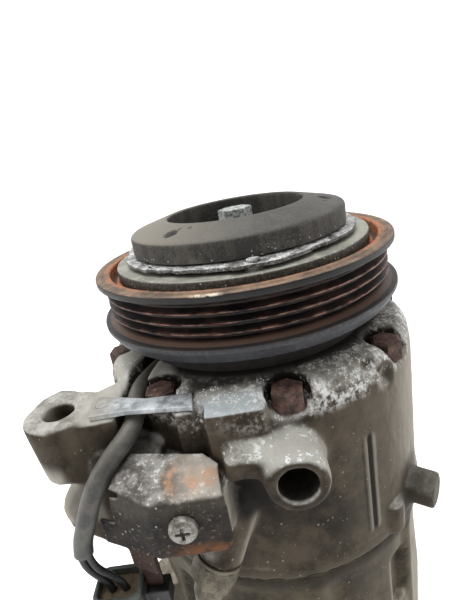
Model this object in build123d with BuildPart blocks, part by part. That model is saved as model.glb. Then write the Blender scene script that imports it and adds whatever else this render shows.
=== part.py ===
from build123d import *
import math
import os

os.makedirs("parts", exist_ok=True)

# A belt-driven scroll compressor for a car's air conditioning, in millimetres.
# +Z runs along the shaft towards the clutch hub. The origin is on the shaft's axis,
# in the plane of the machined rear face that the compressor stands on.

# ---- driving dimensions ---------------------------------------------------------
LIP_Z = 205.0          # front face of the pulley's lip
SEAM_Z = 94.0          # joint face between the two castings
FACE_Z = 172.0         # front face of the casting, under the clutch coil
BODY_R = 64.3
REAR_R = 62.5
GAP = 0.02             # assembly gap between pieces pressed or seated together
RUN = 0.3              # working gap between pieces that move past each other

LIP_R = 60.3
FLANGE_R = 60.7
CREST_R = 57.5
VALLEY_R = 54.7
RIB_PITCH = 3.56
GROOVES = 4
RIM_BORE_R = 52.5
RIM_BACK_Z = LIP_Z - 24.0

BEARING_BORE_R = 17.5
BEARING_OUTER_R = 27.5
BEARING_Z = 177.0
BEARING_W = 20.0
BEARING_PITCH_R = 22.5
BEARING_BALL_R = 3.0
BEARING_BALLS = 14
BEARING_ROWS = (BEARING_Z + 5.4, BEARING_Z + BEARING_W - 5.4)

ROTOR_FACE_Z = 201.05
ROTOR_WEB = 5.05
ARMATURE_Z = 201.6
ARMATURE_T = 5.0
ARMATURE_R = 51.3
ARMATURE_BORE_R = 30.0

CUP_R = 43.3
CUP_RIM_Z = 217.2
BOWL_R = 27.5
BOWL_RIM_Z = 221.3
CUP_T = 2.0
CUP_FLOOR_Z = 206.9
CUP_SKIRT_Z = 210.0

BOLT_CIRCLE_R = 58.5
BOLT_SEAT_Z = 163.0
BOLT_COUNT = 8
BOLT_START_DEG = -83.0
BOLT_R = 3.0
BOLT_END_Z = 78.0

NOSE_TOP_Z = 200.0
SEAL_BORE_R = 14.0
SHAFT_R = 7.0
JOURNAL_R = 10.0
CRANK_R = 20.0
MAIN_Z = 138.0
MAIN_W = 14.0
MAIN_OUTER_R = 23.5
MAIN_PITCH_R = 16.75
MAIN_BALL_R = 3.4
MAIN_BALLS = 9

CAVITY_R = 52.0
SCROLL_PITCH = 14.0
WALL_NOMINAL = 3.0
WALL_T = 2.7
ORBIT_R = SCROLL_PITCH / 2 - WALL_NOMINAL
BASE_CIRCLE_R = SCROLL_PITCH / (2 * math.pi)
WRAP_START = 2.6
WRAP_END = 17.6
WRAP_FLOOR_Z = 66.0
WRAP_TOP_Z = 98.0
ORBIT_PLATE_T = 7.7
DRIVE_PIN_R = 5.0
NEEDLE_R = 1.2
NEEDLE_PITCH_R = 11.05
COUPLING_R = 36.0
COUPLING_BALLS = 10
COUPLING_BALL_R = 2.6

EAR = (-71.1, -51.5)
EAR_HOLE_R = 5.25
EAR_TOP_Z = 170.0
EAR_T = 22.0
BACK_EAR = (24.0, 81.0)
STRAP_T = 1.6
STRAP_SEAT_Z = EAR_TOP_Z - STRAP_T
CROSS_HOLE = (5.5, 146.5)
CROSS_HOLE_R = 6.25
CROSS_FACE_Y = -77.0
CROSS_DEPTH = 15.0


# ---- helpers: each adds to, or cuts from, the piece being built ------------------
def ring(r_out, z0, z1, r_in=0.0, at=(0.0, 0.0), mode=Mode.ADD):
    """A round disc or tube along Z, from z0 up to z1."""
    with BuildSketch(Plane.XY.offset(z0)) as section:
        with Locations(at):
            Circle(r_out)
            if r_in > 0:
                Circle(r_in, mode=Mode.SUBTRACT)
    extrude(section.sketch, amount=z1 - z0, mode=mode)


def turned(points, mode=Mode.ADD, rounded=None):
    """A shape turned about Z from its (radius, height) outline."""
    with BuildSketch(Plane.XZ) as section:
        with BuildLine():
            Polyline(*points, close=True)
        make_face()
        for (radius, height), size in (rounded or {}).items():
            corner = section.vertices().sort_by_distance((radius, height, 0))[0]
            fillet(corner, size)
    revolve(section.sketch, axis=Axis.Z, mode=mode)


def slab(points, z0, z1, mode=Mode.ADD):
    """A flat shape with a straight-sided outline, from z0 up to z1."""
    with BuildSketch(Plane.XY.offset(z0)) as section:
        with BuildLine():
            Polyline(*points, close=True)
        make_face()
    extrude(section.sketch, amount=z1 - z0, mode=mode)


def block(x, y, z, mode=Mode.ADD):
    """A box given by its low and high limits along each axis."""
    slab([(x[0], y[0]), (x[1], y[0]), (x[1], y[1]), (x[0], y[1])], z[0], z[1], mode)


def peg(origin, direction, radius, length, r_in=0.0, mode=Mode.ADD):
    """A round peg or tube from a point, along any direction."""
    with BuildSketch(Plane(origin=origin, z_dir=direction)) as section:
        Circle(radius)
        if r_in > 0:
            Circle(r_in, mode=Mode.SUBTRACT)
    extrude(section.sketch, amount=length, mode=mode)


def hexagon(origin, direction, across_flats, length, mode=Mode.ADD):
    """A hexagonal prism from a point, along any direction."""
    with BuildSketch(Plane(origin=origin, z_dir=direction)) as section:
        RegularPolygon(radius=across_flats / 2, side_count=6, major_radius=False)
    extrude(section.sketch, amount=length, mode=mode)


def polar(radius, degrees):
    """The point at a radius and an angle about the shaft."""
    return (radius * math.cos(math.radians(degrees)), radius * math.sin(math.radians(degrees)))


def polar_points(radius, count, start=0.0):
    """Points equally spaced on a circle about the shaft."""
    return [polar(radius, start + 360.0 * i / count) for i in range(count)]


def arc_slots(radius, width, sweep, count, z0, z1, start=0.0):
    """Curved slots cut through a plate, equally spaced about the shaft."""
    for i in range(count):
        with BuildSketch(Plane.XY.offset(z0)) as section:
            SlotArc(CenterArc((0, 0), radius, start + 360.0 * i / count, sweep), width)
        extrude(section.sketch, amount=z1 - z0, mode=Mode.SUBTRACT)


def circlip(r_in, r_out, z0, z1, gap_deg, facing=90.0):
    """A retaining ring, open over gap_deg towards one side."""
    ring(r_out, z0, z1, r_in)
    reach = 2 * r_out
    half = math.radians(gap_deg / 2)
    side = math.radians(facing)
    mouth = [(0.0, 0.0)]
    for angle in (side - half, side + half):
        mouth.append((reach * math.cos(angle), reach * math.sin(angle)))
    slab(mouth, z0, z1, mode=Mode.SUBTRACT)


def involute(angle, offset_deg, shift):
    """A point on a circle's involute, turned by offset_deg, with its start shifted."""
    turn = angle + math.radians(offset_deg)
    length = angle - shift
    x = BASE_CIRCLE_R * (math.cos(turn) + length * math.sin(turn))
    y = BASE_CIRCLE_R * (math.sin(turn) - length * math.cos(turn))
    return (x, y)


def scroll_wall(thickness, offset_deg, start, end, z0, z1, at=(0.0, 0.0), mode=Mode.ADD):
    """A spiral wall of even thickness, between two involutes of one circle."""
    half = thickness / (2 * BASE_CIRCLE_R)
    count = max(8, int((end - start) / math.radians(20)))
    angles = [start + (end - start) * i / count for i in range(count + 1)]
    inner = [involute(a, offset_deg, half) for a in angles]
    outer = [involute(a, offset_deg, -half) for a in angles]
    inner = [(x + at[0], y + at[1]) for x, y in inner]
    outer = [(x + at[0], y + at[1]) for x, y in outer]
    with BuildSketch(Plane.XY.offset(z0)) as section:
        with BuildLine():
            Spline(*inner)
            Spline(*outer)
            Line(inner[0], outer[0])
            Line(inner[-1], outer[-1])
        make_face()
    extrude(section.sketch, amount=z1 - z0, mode=mode)


def ball(radius, at, mode=Mode.ADD):
    """A ball centred on a point."""
    with Locations(at):
        Sphere(radius, mode=mode)


# ---- pulley and its bearing ------------------------------------------------------
first_valley = LIP_Z - 5.4
rim_outline = [(RIM_BORE_R + GAP, RIM_BACK_Z), (58.0, RIM_BACK_Z), (FLANGE_R, RIM_BACK_Z + 4.3)]
rim_outline += [(FLANGE_R, RIM_BACK_Z + 5.8), (58.6, RIM_BACK_Z + 6.1)]
for groove in reversed(range(GROOVES)):
    valley = first_valley - RIB_PITCH * groove
    rim_outline += [(CREST_R, valley - 1.5), (VALLEY_R, valley - 0.35), (VALLEY_R, valley + 0.35)]
    if groove:
        rim_outline.append((CREST_R, valley + 1.5))
rim_outline += [(CREST_R, LIP_Z - 3.6), (LIP_R, LIP_Z - 2.5), (LIP_R, LIP_Z), (54.5, LIP_Z)]
rim_outline += [(53.9, ROTOR_FACE_Z), (RIM_BORE_R + GAP, ROTOR_FACE_Z)]

with BuildPart() as pulley_rim:
    turned(rim_outline)
pulley_rim.part.label = "pulley_rim"
export_step(pulley_rim.part, "parts/pulley_rim.step")

with BuildPart() as rotor:
    web_z = ROTOR_FACE_Z - ROTOR_WEB
    turned([
        (BEARING_OUTER_R + GAP, 176.0), (31.0, 176.0), (31.0, web_z), (49.0, web_z),
        (49.0, RIM_BACK_Z + 0.5), (RIM_BORE_R, RIM_BACK_Z + 0.5), (RIM_BORE_R, ROTOR_FACE_Z),
        (BEARING_OUTER_R + GAP, ROTOR_FACE_Z),
    ])
    ring(28.8, 197.0, 198.7, mode=Mode.SUBTRACT)
    arc_slots(37.0, 2.6, 70.0, 3, web_z - 1, ROTOR_FACE_Z + 1, 10.0)
    arc_slots(44.5, 2.6, 70.0, 3, web_z - 1, ROTOR_FACE_Z + 1, 70.0)
rotor.part.label = "rotor"
export_step(rotor.part, "parts/rotor.step")

bearing_top = BEARING_Z + BEARING_W

with BuildPart() as bearing_outer_race:
    ring(BEARING_OUTER_R, BEARING_Z, bearing_top, 24.2)
    for row in BEARING_ROWS:
        with BuildSketch(Plane.XZ) as track:
            with Locations((BEARING_PITCH_R, row)):
                Circle(BEARING_BALL_R + RUN)
        revolve(track.sketch, axis=Axis.Z, mode=Mode.SUBTRACT)
bearing_outer_race.part.label = "bearing_outer_race"
export_step(bearing_outer_race.part, "parts/bearing_outer_race.step")

with BuildPart() as bearing_inner_race:
    ring(20.8, BEARING_Z, bearing_top, BEARING_BORE_R + GAP)
    for row in BEARING_ROWS:
        with BuildSketch(Plane.XZ) as track:
            with Locations((BEARING_PITCH_R, row)):
                Circle(BEARING_BALL_R + RUN)
        revolve(track.sketch, axis=Axis.Z, mode=Mode.SUBTRACT)
bearing_inner_race.part.label = "bearing_inner_race"
export_step(bearing_inner_race.part, "parts/bearing_inner_race.step")

with BuildPart() as bearing_balls:
    for row in BEARING_ROWS:
        for x, y in polar_points(BEARING_PITCH_R, BEARING_BALLS):
            ball(BEARING_BALL_R, (x, y, row))
bearing_balls.part.label = "bearing_balls"
export_step(bearing_balls.part, "parts/bearing_balls.step")

with BuildPart() as bearing_cage:
    ring(23.4, BEARING_Z + 2.6, bearing_top - 2.6, 21.6)
    for row in BEARING_ROWS:
        for x, y in polar_points(BEARING_PITCH_R, BEARING_BALLS):
            ball(BEARING_BALL_R + 0.15, (x, y, row), mode=Mode.SUBTRACT)
bearing_cage.part.label = "bearing_cage"
export_step(bearing_cage.part, "parts/bearing_cage.step")

with BuildPart() as bearing_seals:
    ring(24.2 - GAP, BEARING_Z + 0.4, BEARING_Z + 1.4, 21.2)
    ring(24.2 - GAP, bearing_top - 1.4, bearing_top - 0.4, 21.2)
bearing_seals.part.label = "bearing_seals"
export_step(bearing_seals.part, "parts/bearing_seals.step")

with BuildPart() as rotor_circlip:
    circlip(25.2, 28.6, 197.1, 198.6, 30.0)
rotor_circlip.part.label = "rotor_circlip"
export_step(rotor_circlip.part, "parts/rotor_circlip.step")

with BuildPart() as nose_circlip:
    circlip(16.2, 19.6, 197.1, 198.6, 30.0)
nose_circlip.part.label = "nose_circlip"
export_step(nose_circlip.part, "parts/nose_circlip.step")

# ---- clutch coil -----------------------------------------------------------------
COIL_TOP_Z = 193.5
COIL_FLOOR_Z = FACE_Z + 2.0

with BuildPart() as coil_shell:
    turned([
        (19.3, FACE_Z), (47.5, FACE_Z), (47.5, COIL_TOP_Z), (45.5, COIL_TOP_Z),
        (45.5, COIL_FLOOR_Z + 2.0), (35.0, COIL_FLOOR_Z + 2.0), (35.0, COIL_TOP_Z),
        (33.0, COIL_TOP_Z), (33.0, COIL_FLOOR_Z), (19.3, COIL_FLOOR_Z),
    ])
    lead_hole = polar(43.0, -132.0)
    ring(2.9, FACE_Z - 1, COIL_FLOOR_Z + 3, at=lead_hole, mode=Mode.SUBTRACT)
coil_shell.part.label = "coil_shell"
export_step(coil_shell.part, "parts/coil_shell.step")

with BuildPart() as coil_winding:
    ring(45.5 - GAP, COIL_FLOOR_Z + 2.0, COIL_TOP_Z - 1.0, 35.0 + GAP)
coil_winding.part.label = "coil_winding"
export_step(coil_winding.part, "parts/coil_winding.step")

with BuildPart() as coil_circlip:
    circlip(18.1, 22.6, COIL_FLOOR_Z + 0.1, COIL_FLOOR_Z + 1.6, 40.0)
coil_circlip.part.label = "coil_circlip"
export_step(coil_circlip.part, "parts/coil_circlip.step")

# ---- clutch hub and armature -----------------------------------------------------
RIVET_R = 46.0
RIVET_START_DEG = -86.0
INNER_RIVET_R = 37.4
STOPPER_Z = 207.9
STOPPER_T = 1.4

with BuildPart() as hub_core:
    ring(10.5, 199.2, 212.0, 6.35)
    ring(18.0, 204.8, 206.8, 6.35)
hub_core.part.label = "hub_core"
export_step(hub_core.part, "parts/hub_core.step")

slope = (BOWL_RIM_Z - CUP_RIM_Z) / (CUP_R - BOWL_R - CUP_T)
under_outer_z = CUP_RIM_Z - CUP_T
under_inner_z = under_outer_z + slope * (CUP_R - 2 * CUP_T - BOWL_R)

with BuildPart() as hub_cup:
    turned([
        (10.5 + GAP, CUP_FLOOR_Z), (BOWL_R + CUP_T, CUP_FLOOR_Z), (BOWL_R + CUP_T, under_inner_z),
        (CUP_R - CUP_T, under_outer_z), (CUP_R - CUP_T, CUP_SKIRT_Z), (CUP_R, CUP_SKIRT_Z),
        (CUP_R, CUP_RIM_Z), (BOWL_R, BOWL_RIM_Z), (BOWL_R, CUP_FLOOR_Z + CUP_T),
        (10.5 + GAP, CUP_FLOOR_Z + CUP_T),
    ], rounded={(CUP_R, CUP_RIM_Z): 1.4, (BOWL_R, BOWL_RIM_Z): 0.9, (BOWL_R, CUP_FLOOR_Z + CUP_T): 1.8})
    for x, y in polar_points(36.0, 3, -131.0):
        ball(2.6, (x, y, 220.9), mode=Mode.SUBTRACT)
hub_cup.part.label = "hub_cup"
export_step(hub_cup.part, "parts/hub_cup.step")

with BuildPart() as hub_rubber:
    turned([(35.3, 212.3), (CUP_R - CUP_T - GAP, 212.3), (CUP_R - CUP_T - GAP, 214.9), (35.3, 216.2)])
hub_rubber.part.label = "hub_rubber"
export_step(hub_rubber.part, "parts/hub_rubber.step")

stopper_top = STOPPER_Z + STOPPER_T
outer_rivets = polar_points(RIVET_R, 3, RIVET_START_DEG)
inner_rivets = polar_points(INNER_RIVET_R, 3, RIVET_START_DEG + 60.0)

with BuildPart() as carrier_ring:
    turned([
        (32.5, stopper_top), (40.0, stopper_top), (40.0, 211.2), (34.9, 211.2), (34.9, 215.7),
        (32.5, 215.7),
    ])
    for spot in inner_rivets:
        ring(1.6, stopper_top - 1, 212.0, at=spot, mode=Mode.SUBTRACT)
carrier_ring.part.label = "carrier_ring"
export_step(carrier_ring.part, "parts/carrier_ring.step")

# One lobe of the stopper plate: (radius, degrees from the lobe's rivet).
STOPPER_LOBE = [(43.2, -46), (46.6, -31), (48.6, -9), (49.6, -8), (50.2, 9), (47.6, 24), (43.4, 38)]

with BuildPart() as stopper_plate:
    outline = []
    for lobe in range(3):
        for radius, degrees in STOPPER_LOBE:
            outline.append(polar(radius, RIVET_START_DEG + 120.0 * lobe + degrees))
    slab(outline, STOPPER_Z, stopper_top)
    ring(32.5, STOPPER_Z - 1, stopper_top + 1, mode=Mode.SUBTRACT)
    for spot in outer_rivets + inner_rivets:
        ring(1.6, STOPPER_Z - 1, stopper_top + 1, at=spot, mode=Mode.SUBTRACT)
stopper_plate.part.label = "stopper_plate"
export_step(stopper_plate.part, "parts/stopper_plate.step")

armature_top = ARMATURE_Z + ARMATURE_T

with BuildPart() as armature_plate:
    ring(ARMATURE_R, ARMATURE_Z, armature_top, ARMATURE_BORE_R)
    rims = armature_plate.edges().filter_by(GeomType.CIRCLE).group_by(Axis.Z)[-1]
    chamfer(rims, 0.5)
    arc_slots(40.5, 3.0, 72.0, 3, ARMATURE_Z - 1, armature_top + 1, RIVET_START_DEG + 84.0)
    for spot in outer_rivets:
        ring(1.6, ARMATURE_Z - 1, armature_top + 1, at=spot, mode=Mode.SUBTRACT)
armature_plate.part.label = "armature_plate"
export_step(armature_plate.part, "parts/armature_plate.step")

with BuildPart() as plate_rivets:
    for spot in outer_rivets:
        ring(1.5, ARMATURE_Z + 0.2, stopper_top, at=spot)
        ring(3.0, armature_top, STOPPER_Z, at=spot)
        ring(2.3, stopper_top, stopper_top + 0.9, at=spot)
    for spot in inner_rivets:
        ring(1.5, STOPPER_Z, 211.2, at=spot)
        ring(2.2, 207.1, STOPPER_Z, at=spot)
        ring(2.2, 211.2, 212.0, at=spot)
plate_rivets.part.label = "plate_rivets"
export_step(plate_rivets.part, "parts/plate_rivets.step")

with BuildPart() as hub_bolt:
    ring(3.9, 193.0, 212.0)
    ring(8.6, 212.0, 213.4)
    hexagon((0, 0, 213.4), (0, 0, 1), 12.0, 6.8)
    turned([(6.6, 220.3), (7.6, 220.3), (7.6, 219.0)], mode=Mode.SUBTRACT)
hub_bolt.part.label = "hub_bolt"
export_step(hub_bolt.part, "parts/hub_bolt.step")

with BuildPart() as airgap_shim:
    ring(9.4, 198.8, 199.2, 6.35)
airgap_shim.part.label = "airgap_shim"
export_step(airgap_shim.part, "parts/airgap_shim.step")

# ---- shaft, its seal and its bearing ---------------------------------------------
SPLINE_TEETH = 16
MAIN_TOP_Z = MAIN_Z + MAIN_W

with BuildPart() as shaft:
    ring(DRIVE_PIN_R, 108.2, 127.5, at=(ORBIT_R, 0.0))
    ring(CRANK_R, 127.5, 136.5)
    ring(12.6, 136.5, MAIN_Z)
    ring(JOURNAL_R, MAIN_Z, MAIN_TOP_Z)
    ring(SHAFT_R, MAIN_TOP_Z, 196.0)
    ring(8.4, 196.0, 198.8)
    ring(5.6, 198.8, 211.0)
    with BuildSketch(Plane.XY.offset(198.8)) as spline:
        with PolarLocations(5.75, SPLINE_TEETH):
            Rectangle(0.9, 1.1)
    extrude(spline.sketch, amount=12.2)
    ring(4.0, 188.0, 211.0, mode=Mode.SUBTRACT)
shaft.part.label = "shaft"
export_step(shaft.part, "parts/shaft.step")

with BuildPart() as shaft_seal:
    turned([
        (SHAFT_R + 0.06, 163.0), (8.6, 160.0), (SEAL_BORE_R - GAP, 160.0),
        (SEAL_BORE_R - GAP, 168.8), (11.0, 168.8), (11.0, 163.6), (SHAFT_R + 0.06, 164.2),
    ])
shaft_seal.part.label = "shaft_seal"
export_step(shaft_seal.part, "parts/shaft_seal.step")

with BuildPart() as seal_circlip:
    circlip(11.6, 14.9, 169.3, 170.5, 30.0)
seal_circlip.part.label = "seal_circlip"
export_step(seal_circlip.part, "parts/seal_circlip.step")

main_row = MAIN_Z + MAIN_W / 2

with BuildPart() as main_bearing_outer_race:
    ring(MAIN_OUTER_R - GAP, MAIN_Z, MAIN_TOP_Z, 18.9)
    with BuildSketch(Plane.XZ) as track:
        with Locations((MAIN_PITCH_R, main_row)):
            Circle(MAIN_BALL_R + RUN)
    revolve(track.sketch, axis=Axis.Z, mode=Mode.SUBTRACT)
main_bearing_outer_race.part.label = "main_bearing_outer_race"
export_step(main_bearing_outer_race.part, "parts/main_bearing_outer_race.step")

with BuildPart() as main_bearing_inner_race:
    ring(14.6, MAIN_Z, MAIN_TOP_Z, JOURNAL_R + GAP)
    with BuildSketch(Plane.XZ) as track:
        with Locations((MAIN_PITCH_R, main_row)):
            Circle(MAIN_BALL_R + RUN)
    revolve(track.sketch, axis=Axis.Z, mode=Mode.SUBTRACT)
main_bearing_inner_race.part.label = "main_bearing_inner_race"
export_step(main_bearing_inner_race.part, "parts/main_bearing_inner_race.step")

with BuildPart() as main_bearing_balls:
    for x, y in polar_points(MAIN_PITCH_R, MAIN_BALLS):
        ball(MAIN_BALL_R, (x, y, main_row))
main_bearing_balls.part.label = "main_bearing_balls"
export_step(main_bearing_balls.part, "parts/main_bearing_balls.step")

with BuildPart() as main_bearing_cage:
    ring(17.6, main_row - 4.6, main_row + 4.6, 15.9)
    for x, y in polar_points(1.0, MAIN_BALLS):
        peg((0.0, 0.0, main_row), (x, y, 0.0), MAIN_BALL_R + 0.15, MAIN_OUTER_R, mode=Mode.SUBTRACT)
main_bearing_cage.part.label = "main_bearing_cage"
export_step(main_bearing_cage.part, "parts/main_bearing_cage.step")

# ---- scroll drive ----------------------------------------------------------------
PIN_AT = (ORBIT_R, 0.0)
BUSH_R = NEEDLE_PITCH_R - NEEDLE_R - 0.15
BOSS_BORE_R = NEEDLE_PITCH_R + NEEDLE_R + 0.15
BOSS_R = 17.0
ORBIT_PLATE_Z = WRAP_TOP_Z + RUN
ORBIT_BACK_Z = ORBIT_PLATE_Z + ORBIT_PLATE_T
THRUST_Z = ORBIT_BACK_Z + 6.0

with BuildPart() as drive_bush:
    ring(BUSH_R, 108.2, 127.0, DRIVE_PIN_R + GAP, at=PIN_AT)
drive_bush.part.label = "drive_bush"
export_step(drive_bush.part, "parts/drive_bush.step")

with BuildPart() as counterweight:
    slab([(1.0, 8.0), polar(50, 118), polar(50, 180), polar(50, 242), (1.0, -8.0)], 118.0, 126.0)
    ring(60.0, 117.0, 127.0, 34.0, mode=Mode.SUBTRACT)
    ring(13.2, 118.0, 126.0, at=PIN_AT)
    ring(BUSH_R + GAP, 117.0, 127.0, at=PIN_AT, mode=Mode.SUBTRACT)
counterweight.part.label = "counterweight"
export_step(counterweight.part, "parts/counterweight.step")

with BuildPart() as drive_needles:
    for x, y in polar_points(NEEDLE_PITCH_R, 24):
        ring(NEEDLE_R, 108.4, 115.6, at=(x + ORBIT_R, y))
drive_needles.part.label = "drive_needles"
export_step(drive_needles.part, "parts/drive_needles.step")

with BuildPart() as orbiting_scroll:
    ring(43.5, ORBIT_PLATE_Z, ORBIT_BACK_Z, at=PIN_AT)
    ring(BOSS_R, ORBIT_BACK_Z, 116.0, BOSS_BORE_R, at=PIN_AT)
    scroll_wall(WALL_T, 180.0, WRAP_START, WRAP_END, WRAP_FLOOR_Z + RUN, ORBIT_PLATE_Z, PIN_AT)
    scroll_wall(1.3, 180.0, WRAP_START + 0.4, WRAP_END - 0.2, WRAP_FLOOR_Z + RUN,
                WRAP_FLOOR_Z + RUN + 1.2, PIN_AT, Mode.SUBTRACT)
orbiting_scroll.part.label = "orbiting_scroll"
export_step(orbiting_scroll.part, "parts/orbiting_scroll.step")

with BuildPart() as orbiting_tip_seal:
    scroll_wall(1.2, 180.0, WRAP_START + 0.45, WRAP_END - 0.25, WRAP_FLOOR_Z + RUN,
                WRAP_FLOOR_Z + RUN + 1.1, PIN_AT)
orbiting_tip_seal.part.label = "orbiting_tip_seal"
export_step(orbiting_tip_seal.part, "parts/orbiting_tip_seal.step")

FIXED_BASE_Z = 52.0

with BuildPart() as fixed_scroll:
    ring(CAVITY_R - 0.1, FIXED_BASE_Z, WRAP_FLOOR_Z)
    ring(CAVITY_R - 0.1, WRAP_FLOOR_Z, WRAP_TOP_Z, 47.8)
    scroll_wall(WALL_T, 0.0, WRAP_START, WRAP_END, WRAP_FLOOR_Z, WRAP_TOP_Z)
    scroll_wall(1.3, 0.0, WRAP_START + 0.4, WRAP_END - 0.2, WRAP_TOP_Z - 1.2, WRAP_TOP_Z,
                mode=Mode.SUBTRACT)
    ring(3.2, FIXED_BASE_Z - 1, WRAP_FLOOR_Z + 1, mode=Mode.SUBTRACT)
    block((-18, 18), (40, 60), (74, 90), mode=Mode.SUBTRACT)
    ring(1.7, FIXED_BASE_Z - 1, FIXED_BASE_Z + 8, at=(-20.0, 0.0), mode=Mode.SUBTRACT)
fixed_scroll.part.label = "fixed_scroll"
export_step(fixed_scroll.part, "parts/fixed_scroll.step")

with BuildPart() as fixed_tip_seal:
    scroll_wall(1.2, 0.0, WRAP_START + 0.45, WRAP_END - 0.25, WRAP_TOP_Z - 1.1, WRAP_TOP_Z)
fixed_tip_seal.part.label = "fixed_tip_seal"
export_step(fixed_tip_seal.part, "parts/fixed_tip_seal.step")

pocket_r = ORBIT_R / 2 + COUPLING_BALL_R + RUN

with BuildPart() as coupling_orbiting_ring:
    ring(42.5, ORBIT_BACK_Z, ORBIT_BACK_Z + 2.4, 29.0, at=PIN_AT)
    for x, y in polar_points(COUPLING_R, COUPLING_BALLS):
        ring(pocket_r, ORBIT_BACK_Z - 1, ORBIT_BACK_Z + 3, at=(x + ORBIT_R, y), mode=Mode.SUBTRACT)
coupling_orbiting_ring.part.label = "coupling_orbiting_ring"
export_step(coupling_orbiting_ring.part, "parts/coupling_orbiting_ring.step")

with BuildPart() as coupling_fixed_ring:
    ring(44.5, THRUST_Z - 2.4, THRUST_Z, 27.0)
    for spot in polar_points(COUPLING_R, COUPLING_BALLS):
        ring(pocket_r, THRUST_Z - 3, THRUST_Z + 1, at=spot, mode=Mode.SUBTRACT)
coupling_fixed_ring.part.label = "coupling_fixed_ring"
export_step(coupling_fixed_ring.part, "parts/coupling_fixed_ring.step")

with BuildPart() as coupling_balls:
    for x, y in polar_points(COUPLING_R, COUPLING_BALLS):
        ball(COUPLING_BALL_R, (x + ORBIT_R / 2, y, (ORBIT_BACK_Z + THRUST_Z) / 2))
coupling_balls.part.label = "coupling_balls"
export_step(coupling_balls.part, "parts/coupling_balls.step")

# ---- discharge valve -------------------------------------------------------------
REED_T = 0.5

with BuildPart() as reed_valve:
    block((-24.0, 6.0), (-4.5, 4.5), (FIXED_BASE_Z - REED_T - 0.05, FIXED_BASE_Z - 0.05))
    ring(2.6, FIXED_BASE_Z - 2, FIXED_BASE_Z + 1, at=(-20.0, 0.0), mode=Mode.SUBTRACT)
reed_valve.part.label = "reed_valve"
export_step(reed_valve.part, "parts/reed_valve.step")

with BuildPart() as reed_stop:
    with BuildSketch(Plane.XZ.offset(-4.0)) as profile:
        with BuildLine():
            Polyline((-25.0, 50.6), (-15.5, 50.4), (6.0, 46.4), (6.0, 44.6), (-15.5, 48.6), (-25.0, 48.8),
                     close=True)
        make_face()
    extrude(profile.sketch, amount=8.0)
    ring(1.7, 44.0, 52.0, at=(-20.0, 0.0), mode=Mode.SUBTRACT)
reed_stop.part.label = "reed_stop"
export_step(reed_stop.part, "parts/reed_stop.step")

with BuildPart() as reed_screw:
    ring(1.6, 48.8, FIXED_BASE_Z + 7, at=(-20.0, 0.0))
    ring(2.9, 46.0, 48.55, at=(-20.0, 0.0))
    hexagon((-20.0, 0.0, 45.9), (0, 0, 1), 2.5, 1.6, mode=Mode.SUBTRACT)
reed_screw.part.label = "reed_screw"
export_step(reed_screw.part, "parts/reed_screw.step")

# ---- front casting ---------------------------------------------------------------
bolt_spots = polar_points(BOLT_CIRCLE_R, BOLT_COUNT, BOLT_START_DEG)
dowel_spots = [polar(BOLT_CIRCLE_R, BOLT_START_DEG + 22.5), polar(BOLT_CIRCLE_R, BOLT_START_DEG + 202.5)]
STUB_DEG = -36.0
STRAP_PIN_AT = (-55.5, -52.0)
RELIEF_FROM = (-17.0, -62.5, 129.0)
RELIEF_DIR = Vector(-0.42, -0.19, -0.89).normalized()
RELIEF_BOSS_L = 19.0
RELIEF_BOSS_R = 8.4

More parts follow.
